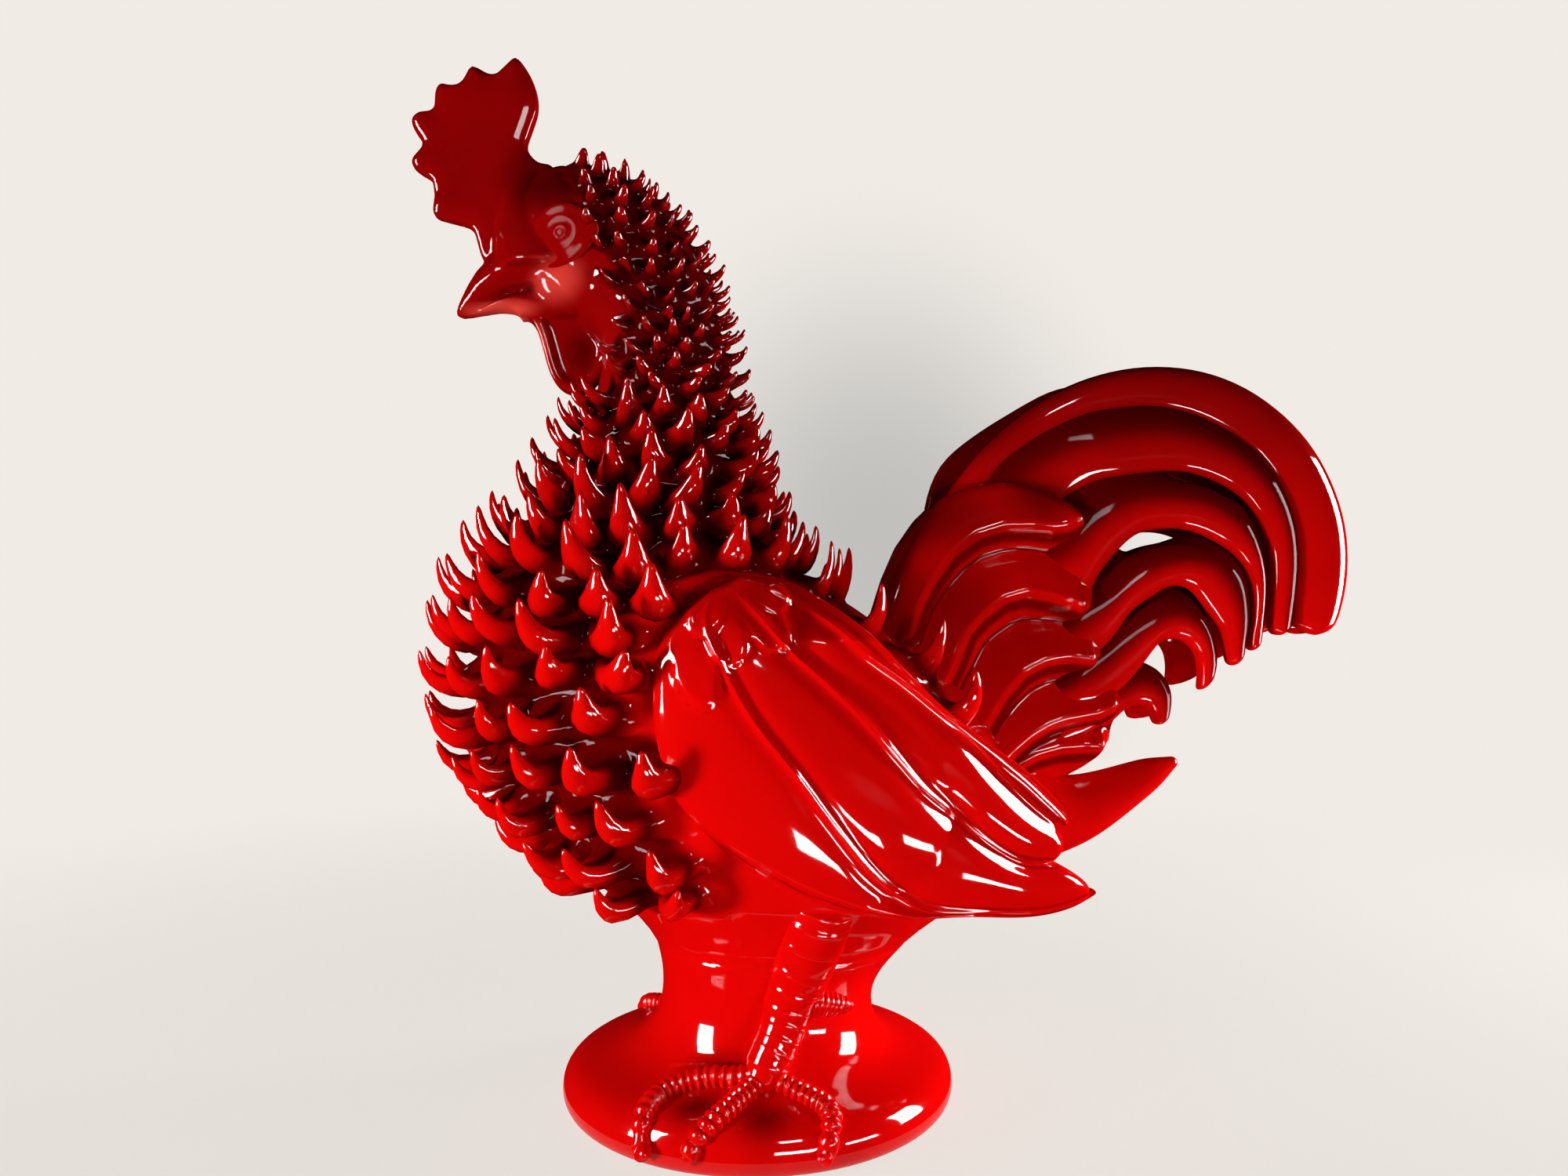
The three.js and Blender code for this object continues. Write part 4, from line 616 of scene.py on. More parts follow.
# Painted shade and painted highlights on the face: dark spots of shade over the brow, at the root
# of the comb and on the wattle, and pink spots of painted sheen on the cheek, along the mouth and
# on the rim of the wattle: middle, size, strength and colour.
FACE_PAINTED_LIGHT = (
    ((-0.080, 0, 0.3665), (0.024, 0.4, 0.018), 0.8, HOLLOW_SHADE_RED),
    ((-0.093, 0, 0.376), (0.016, 0.4, 0.020), 0.55, HOLLOW_SHADE_RED),
    ((-0.0705, 0, 0.306), (0.011, 0.4, 0.016), 0.6, HOLLOW_SHADE_RED),
    ((-0.080, 0, 0.3315), (0.0155, 0.4, 0.011), 0.55, PAINTED_SHEEN_PINK),
    ((-0.103, 0, 0.3225), (0.020, 0.4, 0.0045), 0.8, PAINTED_SHEEN_PINK),
    ((-0.0875, 0, 0.306), (0.005, 0.4, 0.015), 0.6, PAINTED_SHEEN_PINK),
)
# Pools of thick glaze between the toes and where the stem meets the foot, painted dark as the shade
# there as well.
FOOT_POOLS_AND_SHADE = tuple(
    ((x, side * y, z), size, strength, POOLED_SHADE_RED)
    for side in (-1, 1)
    for x, y, z, size, strength in (
        (-0.027, 0.060, 0.018, (0.015, 0.011, 0.030), 0.85),
        (-0.004, 0.070, 0.014, (0.015, 0.012, 0.030), 0.85),
        (-0.020, 0.044, 0.028, (0.026, 0.012, 0.010), 0.6),
    )
)
# Painted shade: dark spots over the roots of the tail.
TAIL_PAINTED_SHADE = (
    ((0.082, 0, 0.279), (0.046, 0.4, 0.024), 0.75, HOLLOW_SHADE_RED),
    ((0.070, 0, 0.238), (0.046, 0.4, 0.020), 0.60, HOLLOW_SHADE_RED),
    ((0.052, 0, 0.206), (0.016, 0.4, 0.040), 0.55, HOLLOW_SHADE_RED),
    ((0.118, 0, 0.246), (0.022, 0.4, 0.016), 0.65, HOLLOW_SHADE_RED),
)


def red_glaze(
    name, tone, gloss=0.36, thin=0.55, unglazed_foot=False, pool_and_shade=False, painted_spots=(),
):
    """Thick transparent red over pale clay: thin and orange on edges, pooling dark in hollows and
    creases, which also paints the shade there; the top is painted deeper as shade.

    The tone brightens the red, gloss is how much it mirrors, and thin how orange its edges are.
    """
    material = bpy.data.materials.new(name)
    bench = Bench(material)
    place = bench.place()
    height = bench.node("ShaderNodeSeparateXYZ", values={0: place}, output=2)
    cloud = bench.noise(place, 24.0, 3.0)
    # Painted shade: the red turns deep towards the top and bright below, with noise and tone
    # varying it at random.
    painted_light_and_tone = height.between(*PAINTED_SHADE_HEIGHTS) + (cloud - 0.5) * 0.30 + tone
    colour = bench.blend(painted_light_and_tone, DEEP_RED, BRIGHT_RED)
    relief = bench.node("ShaderNodeNewGeometry", output="Pointiness")
    colour = bench.blend(relief.between(*THIN_EDGE) * thin, colour, THIN_RED)
    # Painted shade in creases, where the glaze also pools.
    colour = bench.blend(relief.between(*POOLED_SHADE_CREASE) * 0.85, colour, POOLED_SHADE_RED)
    mirror = gloss
    # Painted shade in the hollows between spikes and feathers, where the glaze also pools: the red
    # turns near-black there and the gloss goes.
    if pool_and_shade:
        hollow = bench.node("ShaderNodeAttribute", {"attribute_name": "pool_and_shade"}, output="Fac")
        colour = bench.blend(hollow.between(0.30, 1.0) * 0.86, colour, HOLLOW_SHADE_RED)
        mirror = gloss - hollow.between(0.30, 0.90) * gloss * 0.9
    # Spots of painted shade and painted highlight, laid on by place.
    for middle, size, strength, shade in painted_spots:
        colour = bench.blend(bench.spot(place, middle, size) * strength, colour, shade)
    ripple = bench.noise(place, 260.0)
    pinholes = bench.noise(place, 900.0, 1.0).between(0.74, 0.80)
    surface = ripple * 0.6 + cloud * 1.0 - pinholes * 0.25
    if unglazed_foot:
        bare = height.between(*BARE_FOOT)
        grog = bench.noise(place, 1600.0, 3.0, 0.7)
        colour = bench.blend(bare, colour, bench.blend(grog, CLAY, DARK_CLAY))
        mirror = mirror * (1 - bare)
        surface = surface + grog * bare * 0.8
    bump = bench.node(
        "ShaderNodeBump", values={"Strength": 0.12, "Distance": 0.00035, "Height": surface})
    shader = bench.node(
        "ShaderNodeBsdfPrincipled",
        values={
            "Base Color": colour,
            "Roughness": 0.6,
            "Normal": bump,
            "IOR": 1.5,
            "Specular IOR Level": 0.0,
            "Coat Weight": mirror,
            "Coat Roughness": 0.05,
        },
    )
    bench.surface(shader)
    return material


# Studio.

PALE = (0.87, 0.83, 0.785, 1)
PAPER_GRAIN = (0.80, 0.76, 0.71, 1)
BLACK = (0.004, 0.004, 0.004, 1)
WORN_BLACK = (0.012, 0.012, 0.012, 1)
FLOOR_RADIUS = 3.2
# Paper behind the hen: half its width and height, its middle, and where and how grey the painted
# shadow of the hen on it is.
SCREEN = {"half": (1.9, 1.6), "middle": (0.1, 0.98, 1.601)}
SCREEN_SHADE = ((0.24, 0.98, 0.27), (0.42, 1.0, 0.50), (0.54, 0.53, 0.51, 1))
# Black cloth round the hen, and the hole in the black card that she stands in.
CLOTH = {"radius": 0.95, "height": 1.4, "steps": 64, "hole": 0.0895}
OVER_FLOOR = 0.002
# Soft boxes: degrees right of the front, distance, height, width, height of the box and level.
# A box lights the hen, and a shine shows only as a reflection in the glaze.
BOXES = {
    "left_box": (-60, 1.0, 0.13, 0.14, 0.22, 80),
    "left_shine": (-68, 0.9, 0.31, 0.27, 0.62, 140),
    "right_box": (98, 1.0, 0.22, 0.14, 0.30, 80),
    "right_shine": (86, 0.9, 0.28, 0.30, 0.50, 120),
    "front_box": (34, 1.1, 0.07, 0.30, 0.12, 32),
    "low_front_shine": (14, 0.245, 0.012, 0.10, 0.035, 90),
    "low_right_shine": (46, 0.325, 0.012, 0.10, 0.035, 90),
    "high_front_shine": (14, 0.88, 0.62, 0.20, 0.12, 75),
}


def photo_camera():
    lens = bpy.data.cameras.new("photo_camera")
    lens.lens = 27.0
    lens.sensor_width = 36.0
    lens.clip_start = 0.01
    lens.clip_end = 20.0
    camera = placed("photo_camera", lens)
    ahead = Vector((0.10452, 0.99443, 0.01344))
    right = Vector((0.99452, -0.10453, 0.0))
    above = Vector((-0.001405, -0.013366, 0.99991))
    roll = math.radians(-0.30)
    across = right * math.cos(roll) + above * math.sin(roll)
    upright = above * math.cos(roll) - right * math.sin(roll)
    turn = Matrix((across, upright, -ahead)).transposed()
    camera.matrix_world = Matrix.Translation((-0.0395, -0.4886, 0.203)) @ turn.to_4x4()
    bpy.context.scene.camera = camera


def seen_directly(bench):
    """1 for rays that look at a surface, straight or through gloss and glass."""
    seen, gloss, glass = (
        bench.node("ShaderNodeLightPath", output="Is " + kind + " Ray")
        for kind in ("Camera", "Glossy", "Transmission")
    )
    return seen.maths("MAXIMUM", seen.maths("MAXIMUM", seen, gloss), glass)


def pale_world():
    world = bpy.data.worlds.new("pale_studio")
    bpy.context.scene.world = world
    bench = Bench(world)
    values = {"Color": PALE, "Strength": seen_directly(bench)}
    bench.surface(bench.node("ShaderNodeBackground", values=values), of="World")


def pale_paper(name, near_share, shade=None):
    """Paper that takes the shadow near the hen and fades into the pale room further out."""
    material = bpy.data.materials.new(name)
    bench = Bench(material)
    place = bench.place()
    away = bench.length(place).between(0.2, 0.9)
    tint = bench.blend(bench.noise(place, 300.0) * 0.06, PALE, PAPER_GRAIN)
    glow = PALE
    # A painted shadow of the hen: a grey spot on the paper's glow.
    if shade:
        middle, size, grey = shade
        glow = bench.blend(bench.spot(place, middle, size), PALE, grey)
    matt = bench.node("ShaderNodeBsdfDiffuse", values={"Color": tint})
    lit = bench.node("ShaderNodeEmission", values={"Color": glow, "Strength": 1.0})
    share = seen_directly(bench) * (away * (1 - near_share) + near_share)
    bench.surface(bench.node("ShaderNodeMixShader", values={0: share, 1: matt, 2: lit}))
    return material


def black_cloth():
    material = bpy.data.materials.new("black_cloth")
    bench = Bench(material)
    tint = bench.blend(bench.noise(bench.place(), 400.0), BLACK, WORN_BLACK)
    bench.surface(bench.node("ShaderNodeBsdfDiffuse", values={"Color": tint}))
    return material


def stage_piece(name, bm, material):
    piece = made_of(name, bm, material)
    return piece


def studio():
    bm = bmesh.new()
    bmesh.ops.create_circle(bm, cap_ends=True, radius=FLOOR_RADIUS, segments=96)
    stage_piece("paper_floor", bm, pale_paper("pale_floor", 0.84))
    bm = bmesh.new()
    upright = Matrix.Rotation(math.pi / 2, 4, "X") @ Matrix.Diagonal((*SCREEN["half"], 1, 1))
    place = Matrix.Translation(SCREEN["middle"]) @ upright
    bmesh.ops.create_grid(bm, x_segments=1, y_segments=1, size=1.0, matrix=place)
    stage_piece("paper_screen", bm, pale_paper("pale_screen", 1.0, SCREEN_SHADE))
    # Black cloth round the hen and above her, and a black card on the floor: like the flags of a
    # photographer's table they keep the pale paper out of the gloss of the glaze.
    radius, height, steps = CLOTH["radius"], CLOTH["height"], CLOTH["steps"]
    bm = bmesh.new()
    bmesh.ops.create_cone(
        bm, cap_ends=False, radius1=radius, radius2=radius, depth=height, segments=steps,
        matrix=Matrix.Translation((0, 0, height / 2 + OVER_FLOOR)),
    )
    bmesh.ops.create_circle(
        bm, cap_ends=True, radius=radius, segments=steps,
        matrix=Matrix.Translation((0, 0, height + OVER_FLOOR)),
    )
    bmesh.ops.create_cone(
        bm, cap_ends=False, radius1=radius - 0.001, radius2=CLOTH["hole"], depth=0.001,
        segments=steps, matrix=Matrix.Translation((0, 0, OVER_FLOOR)),
    )
    flags = stage_piece("black_flags", bm, black_cloth())
    flags.visible_camera = False
    flags.visible_diffuse = False
    flags.visible_shadow = False


def soft_boxes():
    for name, (turn, distance, height, width, tall, level) in BOXES.items():
        light = bpy.data.lights.new(name, "AREA")
        light.shape = "RECTANGLE"
        light.size = width
        light.size_y = tall
        light.energy = level * math.pi * width * tall
        lamp = placed(name, light)
        angle = math.radians(turn)
        lamp.location = (math.sin(angle) * distance, -math.cos(angle) * distance, height)
        lamp.rotation_euler = (MIDDLE - lamp.location).to_track_quat("-Z", "Y").to_euler()
        lamp.visible_diffuse = name.endswith("box")
        lamp.visible_glossy = name.endswith("shine")


# Hollow body, neck, head and foot: one cast skin.


def oval_place(angle, height, front, rear, half, grow=0.0):
    middle, length = (front + rear) / 2, (rear - front) / 2
    x, y = middle + (length + grow) * math.cos(angle), (half + grow) * math.sin(angle)
    return Vector((x, y, height))


def skin_place(angle, height, grow=0.0):
    return oval_place(angle, height, *along(SKIN, height), grow)


def skin_middle(height):
    front, rear, _ = along(SKIN, max(height, SKIN[0][0]))
    return Vector(((front + rear) / 2, 0, height))


def skin_half(x, height):
    """Half width of the body at a place on its side, or 0 beyond its outline."""
    front, rear, half = along(SKIN, height)
    share = (x - (front + rear) / 2) / ((rear - front) / 2)
    return half * math.sqrt(max(0.0, 1 - share * share))


def row_place(angle, height):
    """A place on the skin, moved up or down as the rows of spikes wander."""
    room = soft_step(80, 100, height) * soft_step(372, 350, height)
    wander = sum(
        size * math.sin(waves * angle + per_height * height)
        for size, waves, per_height in ROW_WANDER
    )
    return skin_place(angle, height + room * wander)


def in_outline(x, z, outline):
    inside = False
    for (x0, z0), (x1, z1) in zip(outline, outline[1:] + outline[:1]):
        if (z0 > z) != (z1 > z) and x < (x1 - x0) * (z - z0) / (z1 - z0) + x0:
            inside = not inside
    return inside


def carries_spike(x, y, z):
    if abs(y) < UNDER["tail"] and in_outline(x, z, TAIL_PLACE):
        return False
    if z > NECK_SEAM:
        return x > straight(FACE_LIMIT, z)
    if z < LOWEST_SPIKE:
        return False
    if x < straight(WING_LIMIT, z):
        return True
    if abs(y) > UNDER["wing"] and in_outline(x, z, WING_LINES[0] + WING_LINES[4][::-1]):
        return False
    if z > BACK_SPIKES["full"]:
        return x < 0 or abs(y) < BACK_SPIKES["outer"]
    return z > BACK_SPIKES["low"] and x > 0 and BACK_SPIKES["inner"] < abs(y) < BACK_SPIKES["outer"]


def pinch_spike(bm, face, length, sway):
    """Draws one cell of skin out into a pinched, keeled claw that curls upwards."""
    places = [v.co.copy() for v in face.verts]
    centre = sum(places, Vector()) / len(places)
    by_height = sorted(places, key=lambda p: p.z)
    low, high = by_height[:3], by_height[3:]
    rise = sum(high, Vector()) / 3 - sum(low, Vector()) / 3
    ends = max(((a, b) for a in low for b in low), key=lambda pair: (pair[0] - pair[1]).length)
    side = ends[1] - ends[0]
    out = side.cross(rise).normalized()
    if out.dot(centre - skin_middle(centre.z)) < 0:
        out, side = -out, -side
    shortening = REAR_SHORTENING["body" if centre.z < NECK_SEAM else "above"]
    reach = length * (1 - shortening * max(0.0, out.x))
    # Under the belly the claws point less far down than the skin does, and all curl upwards.
    if out.z < 0:
        out.z *= 0.5
    out.normalize()
    up = (Vector((0, 0, 1)) - 0.35 * out.z * out).normalized()
    width, side_ahead, rise_ahead = side.length, side.normalized(), rise.normalized()
    marks = []
    for place in places:
        along_side = round(2 * (place - centre).dot(side_ahead) / width)
        marks.append((max(-1, min(1, along_side)), (place - centre).dot(rise_ahead) > 0))
    reach *= 1 + SPIKE_WANDER["length"] * sway()
    out = (out + side_ahead * SPIKE_WANDER["lean"] * sway()).normalized()
    up = (up + side_ahead * SPIKE_WANDER["lean"] * sway()).normalized()
    # Painted shade, full at the root of the claw, where glaze pools between the spikes.
    pool_and_shade = bm.verts.layers.float["pool_and_shade"]
    for vert in face.verts:
        vert[pool_and_shade] = 1.0
    centre += (side_ahead * sway() + rise_ahead * sway()) * (SPIKE_WANDER["root"] * width)
    claw = next(rows for top, rows in CLAWS if centre.z < top)
    for out_share, up_share, lean, half, keel, hollow in claw:
        face = bmesh.ops.extrude_discrete_faces(bm, faces=[face])["faces"][0]
        middle = centre + out * reach * out_share + up * reach * up_share
        angle = math.radians(lean)
        down = out * math.sin(angle) - up * math.cos(angle)
        pool_shade = next(depth for end, depth in CLAW_POOL_AND_SHADE if out_share < end)
        for vert, (at_side, upper) in zip(face.verts, marks):
            if upper:
                drop = -hollow * (1.0 if at_side else CLAW_CUT["middle"])
            else:
                drop = keel * (CLAW_CUT["sides"] if at_side else 1.0)
            spread = half * at_side * (CLAW_CUT["upper"] if upper else 1.0)
            vert.co = middle + side_ahead * width * spread + down * width * drop
            vert[pool_and_shade] = pool_shade


def cast_skin(bm):
    """Foot, stem, body, neck and head as the one hollow casting, with its spikes pinched out."""
    bm.verts.layers.float.new("pool_and_shade")
    hand = random.Random(SEED)

    def sway():
        """How far the hand strays from its aim, from -1 to 1."""
        return hand.uniform(-1, 1)

    rings = [level_ring(bm, *along(STEM, height), height, STEM_STEPS) for height in STEM_HEIGHTS]
    rings.append(level_ring(bm, 0.0, FOOT_RING, 0.0, STEM_STEPS))
    for height in (0.0, VENT["deep"]):
        rings.append(level_ring(bm, VENT["x"], VENT["radius"], height, VENT["steps"]))
    for high, low in zip(rings, rings[1:]):
        bridge(bm, high, low)
    close_ring(bm, rings[-1])
    below = rings[0]
    cells = []
    for row, (low, high, count) in enumerate(BODY_ROWS + NECK_ROWS + HEAD_ROWS):
        angles = [math.pi * (k + row % 2) / count for k in range(2 * count)]
        foot, head = (
            ring_of(bm, [row_place(angle, height) for angle in angles]) for height in (low, high)
        )
        bridge(bm, below, foot)
        bridge(bm, foot, head)
        cells += zip(foot[1::2], head[1::2])
        below = head
    middles = [bm.edges.get(pair) for pair in cells]
    bmesh.ops.poke(bm, faces=close_ring(bm, below))
    bmesh.ops.dissolve_edges(bm, edges=middles)
    sunk = set()
    for foot_vert, head_vert in cells:
        face = next(f for f in foot_vert.link_faces if f in head_vert.link_faces)
        at = face.calc_center_median()
        if carries_spike(at.x, at.y, at.z):
            sunk.update(face.verts)
            pinch_spike(bm, face, straight(SPIKE_LENGTH, at.z), sway)
    for vert in sorted(sunk, key=lambda v: (v.co.z, v.co.x, v.co.y)):
        inward = skin_middle(vert.co.z) - vert.co
        wander = Vector((sway(), sway(), sway()))
        depth = straight(HOLLOW_DEPTH, vert.co.z)
        vert.co += inward.normalized() * depth + wander * depth * SPIKE_WANDER["hollow"]
    # Cells left plain, of six corners and over 30 mm2, hold only a thin pool of glaze and little
    # painted shade.
    pool_and_shade = bm.verts.layers.float["pool_and_shade"]
    for face in bm.faces:
        if len(face.verts) > 4 and face.calc_area() > 30:
            for vert in face.verts:
                vert[pool_and_shade] = min(vert[pool_and_shade], 0.4)


# Comb, wattle, beak and eyes.


def leaf_slab(bm, outline, thickness, rim, swell=0.0, hollow=0.0):
    """Adds a thick leaf of clay cut to an outline, swelling in the middle or hollowed in a rim."""
    own = bmesh.new()
    cut = ring_of(own, side_line([*outline, outline[0]], 120)[:-1])
    face = close_ring(own, cut)[0]
    bmesh.ops.translate(own, vec=(0, -thickness / 2, 0), verts=own.verts)
    bmesh.ops.translate(own, vec=(0, thickness, 0), verts=drawn_out(own, [face]))
    bmesh.ops.recalc_face_normals(own, faces=own.faces)
    for width, depth in ((rim, swell), (rim * 0.4, swell * 0.4 - hollow)):
        sides = [f for f in own.faces if len(f.verts) > 10]
        bmesh.ops.inset_individual(own, faces=sides, thickness=width, depth=depth)
    mesh = bpy.data.meshes.new("cut_leaf")
    own.to_mesh(mesh)
    own.free()
    bm.from_mesh(mesh)
    bpy.data.meshes.remove(mesh)


def beak_half(bm, rows):
    rim = ((0, -1), (0.62, -0.8), (1, -0.2), (0.9, 0.35), (0.5, 0.85), (0, 1), (-0.5, 0.85),
           (-0.9, 0.35), (-1, -0.2), (-0.62, -0.8))
    sections = []
    for x, low, high, half in rows:
        middle, reach = (low + high) / 2, (high - low) / 2
        sections.append([Vector((x, y * half, middle + z * reach)) for y, z in rim])
    loft(bm, sections)


def face_front(bm):
    """Bare front of the head with its cheeks, comb, beak and wattle."""
    leaf_slab(bm, COMB, COMB_THICKNESS, 4.0, swell=1.2)
    leaf_slab(bm, WATTLE, WATTLE_THICKNESS, 3.2, hollow=2.6)
    beak_half(bm, UPPER_BEAK)
    beak_half(bm, LOWER_BEAK)
    # Over its last few millimetres before the spikes the bare face dives under the skin.
    sections = []
    for step in range(FACE["rings"]):
        height = FACE["from"] + FACE["step"] * step
        cut = straight(FACE_LIMIT, height) - 1.5
        section = []
        for angle in circle(40):
            near = soft_step(cut - 7, cut, skin_place(angle, height, FACE["proud"]).x)
            place = skin_place(angle, height, FACE["proud"] - FACE["dive"] * near)
            place.x = min(place.x, cut)
            section.append(place)
        sections.append(section)
    loft(bm, sections)
    loft(bm, [[oval_place(angle, *row) for angle in circle(24)] for row in BROW])
    for hand in (-1, 1):
        middle = skin_half(CHEEK["x"], CHEEK["z"]) - CHEEK["set"]
        place = Matrix.Translation((CHEEK["x"], hand * middle, CHEEK["z"]))
        turn = Matrix.Rotation(math.radians(-CHEEK["turn"]), 4, "Y")
        size = Matrix.Diagonal((CHEEK["long"], CHEEK["deep"], CHEEK["high"], 1))
        bmesh.ops.create_uvsphere(
            bm, u_segments=24, v_segments=16, radius=1.0, matrix=place @ turn @ size)


def work_together(piece):
    """Works the lumps that a piece is made of into one another, with soft joins."""
    body = piece.modifiers.new("one_body", "REMESH")
    body.mode = "VOXEL"
    body.voxel_size = JOINING["grain"] * MM
    body.use_smooth_shade = True
    soften = piece.modifiers.new("softened", "SMOOTH")
    soften.factor = 0.5
    soften.iterations = JOINING["strokes"]


def eye(bm):
    """Eye pressed into the cheek: a wide low ring that comes to a point, a second ring, a pupil."""
    sections = []
    for radius, rise in EYE_RINGS:
        ring = []
        for angle in circle(36):
            point = EYE["point"] * max(0.0, math.cos(angle)) ** 5 * soft_step(5, 11, radius)
            x = EYE["x"] + radius * math.cos(angle) * (1 + point)
            z = EYE["z"] + radius * EYE["height"] * math.sin(angle)
            ring.append(Vector((x, -(skin_half(x, z) + FACE["proud"] + rise), z)))
        sections.append(ring)
    loft(bm, sections)


# Wings: heights and widths of the relief are in millimetres.


def wing_base(x, z):
    spread = WING_SPREAD
    behind = max(0.0, x - spread["start"])
    above = max(0.0, z - spread["top"])
    plane = spread["half"] - spread["lean"] * behind - spread["curve"] * behind**2
    return max(skin_half(x, z), plane - spread["fall"] * above)


def shoulder_relief(x, z):
    """Height of the short feathers over the shoulder, with raised rims, and the glaze's pooling and
    painted shade.
    """
    height, pool_shade = 0.0, 0.0
    for x0, z0, x1, z1, half in SHOULDER:
        reach = math.hypot(x1 - x0, z1 - z0)
        ahead = ((x1 - x0) / reach, (z1 - z0) / reach)
        along_leaf = (x - x0) * ahead[0] + (z - z0) * ahead[1]
        across_leaf = -(x - x0) * ahead[1] + (z - z0) * ahead[0]
        middle = reach * 0.55
        beyond = (along_leaf - middle) / (reach - middle)
        radius = math.hypot(max(0.0, beyond), across_leaf / half)
        lift = soft_step(0.0, 0.6, along_leaf / reach)
        leaf = soft_step(1.15, 0.92, radius) * (0.3 + 1.6 * lift)
        rim = 0.6 * lift * bell(radius, 0.84, 0.11)
        height = max(height, leaf + rim - 0.6 * lift * soft_step(0.8, 0.0, radius))
        pool_shade = max(pool_shade, 0.6 * lift * bell(radius, 1.16, 0.10))
    return height, pool_shade


def wing_relief(t, width, travel, course):
    """Height of a feather course, with fine ridges and full rolls at the tip, and its pooling and
    painted shade.
    """
    near_line = min(t, 1 - t) * width
    ridge = 1.5 * bell(near_line, 0, 1.15)
    valley = 1.1 * bell(near_line, 3.2, 2.4)
    crown = max(0.0, math.sin(math.pi * t)) ** 0.75
    full = soft_step(0.38, 0.85, travel)
    under = 0.0
    if course == 0:
        beyond = (t - straight(WING_LEAF_END, travel)) * width
        under = soft_step(0.6, -1.2, beyond) * soft_step(0.28, 0.40, travel)
    height = ridge * (1 - 0.5 * full) - valley * (1 - 0.2 * full)
    height += crown * (0.3 + 4.8 * full) * (1 - 0.55 * under) - 1.6 * under
    pool_shade = 0.7 * bell(near_line, 2.0, 1.4) * (0.25 + 0.75 * full)
    if course == 0:
        begun = soft_step(0.30, 0.42, travel) * soft_step(0.86, 0.78, travel)
        height += 0.9 * begun * bell(beyond, 2.0, 1.3)
        pool_shade = max(pool_shade, 0.75 * begun * bell(beyond, -1.6, 1.2))
    begun = soft_step(0.0, 0.14, travel)
    return height * begun, pool_shade * begun


def wing(bm):
    """One leaf over the flank with four long feather courses and short shoulder feathers."""
    steps, stations = 18, 112
    lines = [side_line(row, stations + 1) for row in WING_LINES]
    courses = len(lines) - 1
    bmesh.ops.create_grid(bm, x_segments=courses * steps, y_segments=stations, size=1.0)
    pool_and_shade = bm.verts.layers.float.new("pool_and_shade")
    for vert in bm.verts:
        column = round((vert.co.x + 1) / 2 * courses * steps)
        station = round((vert.co.y + 1) / 2 * stations)
        course = min(courses - 1, column // steps)
        t = (1 - math.cos(math.pi * (column - course * steps) / steps)) / 2
        travel = station / stations
        a, b = lines[course][station], lines[course + 1][station]
        before = lines[course][max(0, station - 1)], lines[course + 1][max(0, station - 1)]
        at = a.lerp(b, t)
        width = (b - a).length
        ahead = (at - before[0].lerp(before[1], t)).normalized()
        rounding = math.sin(math.pi * t) ** 0.5 * soft_step(0.88, 1.0, travel)
        at = at + ahead * WING_TIP_ROUND * rounding
        u = (course + t) / courses
        dome = math.sqrt(max(0.0, 1 - (2 * u - 1) ** 2)) * WING_CROWN
        relief, pool_shade = wing_relief(t, width, travel, course)
        leaf, leaf_pool_shade = shoulder_relief(at.x, at.z)
        # Painted shade, with pooling glaze, in the grooves and round the shoulder feathers.
        vert[pool_and_shade] = max(pool_shade, leaf_pool_shade)
        # How far the place is from the nearest edge of the leaf.
        edge = min(
            t * width if course == 0 else FAR,
            (1 - t) * width if course == courses - 1 else FAR,
            (1 - travel) * WING_LENGTH,
            travel * WING_LENGTH + 1.5,
        )
        lip = 0.9 * bell(edge, 3.2, 1.5) * soft_step(0.75, 0.5, travel)
        rolled = WING_RIM - math.sqrt(max(0.0, WING_RIM**2 - max(0.0, WING_RIM - edge) ** 2))
        out = WING_EDGE + (dome + relief + leaf) * (1 - 0.35 * travel**6) + lip - rolled
        vert.co = Vector((at.x, -(wing_base(at.x, at.z) + out), at.z))
    for vert in drawn_out(bm, bm.faces[:]):
        vert.co.y = -(wing_base(vert.co.x, vert.co.z) - WING_WALL)


# Tail and rear point.


def feather(bm, outer, inner, crest, kind, pierced):
    """One long feather of the tail: a rolled band between its two edges, with a rounded end."""
    fine = 240
    a, b = side_line(outer, fine + 1), side_line(inner, fine + 1)
    length = length_of(a)
    end_radius = min((a[-1] - b[-1]).length * 0.55, 6.5)
    begin, risen = (0.0, 0.2) if pierced else (0.08, 0.32)
    profile = PROFILES[kind]
    sections = []
    for station in (*range(0, fine - 8, 8), *range(fine - 8, fine + 1)):
        travel = station / fine
        tuck = 0.42 if kind == "sickle" else 0.0
        if pierced:
            window = soft_step(pierced[0] - 0.06, pierced[0], travel)
            window *= soft_step(pierced[1] + 0.06, pierced[1], travel)
            tuck -= 0.38 * window
        left = min(1.0, length * (1 - travel) / end_radius)
        round_off = max(0.12, math.sqrt(max(0.0, 1 - (1 - left) ** 2)))
        rise = crest * (0.48 + 0.52 * soft_step(begin, risen, travel))
        section = []
        for place, (share, of_crest, change, _) in enumerate(profile):
            if place in (0, len(profile) - 1):
                share -= tuck
            depth = rise * of_crest + change
            share = 0.5 + (share - 0.5) * round_off
            depth = crest * 0.62 + (depth - crest * 0.62) * round_off**0.7
            section.append(a[station].lerp(b[station], share) + Vector((0, -depth, 0)))
        sections.append(section)
    start = len(bm.verts)
    loft(bm, sections)
    bm.verts.ensure_lookup_table()
    # Painted shade, with pooling glaze, along the tucked edges of the feather.
    pool_and_shade = bm.verts.layers.float["pool_and_shade"]
    for index in range(start, len(bm.verts)):
        bm.verts[index][pool_and_shade] = profile[(index - start) % len(profile)][3]


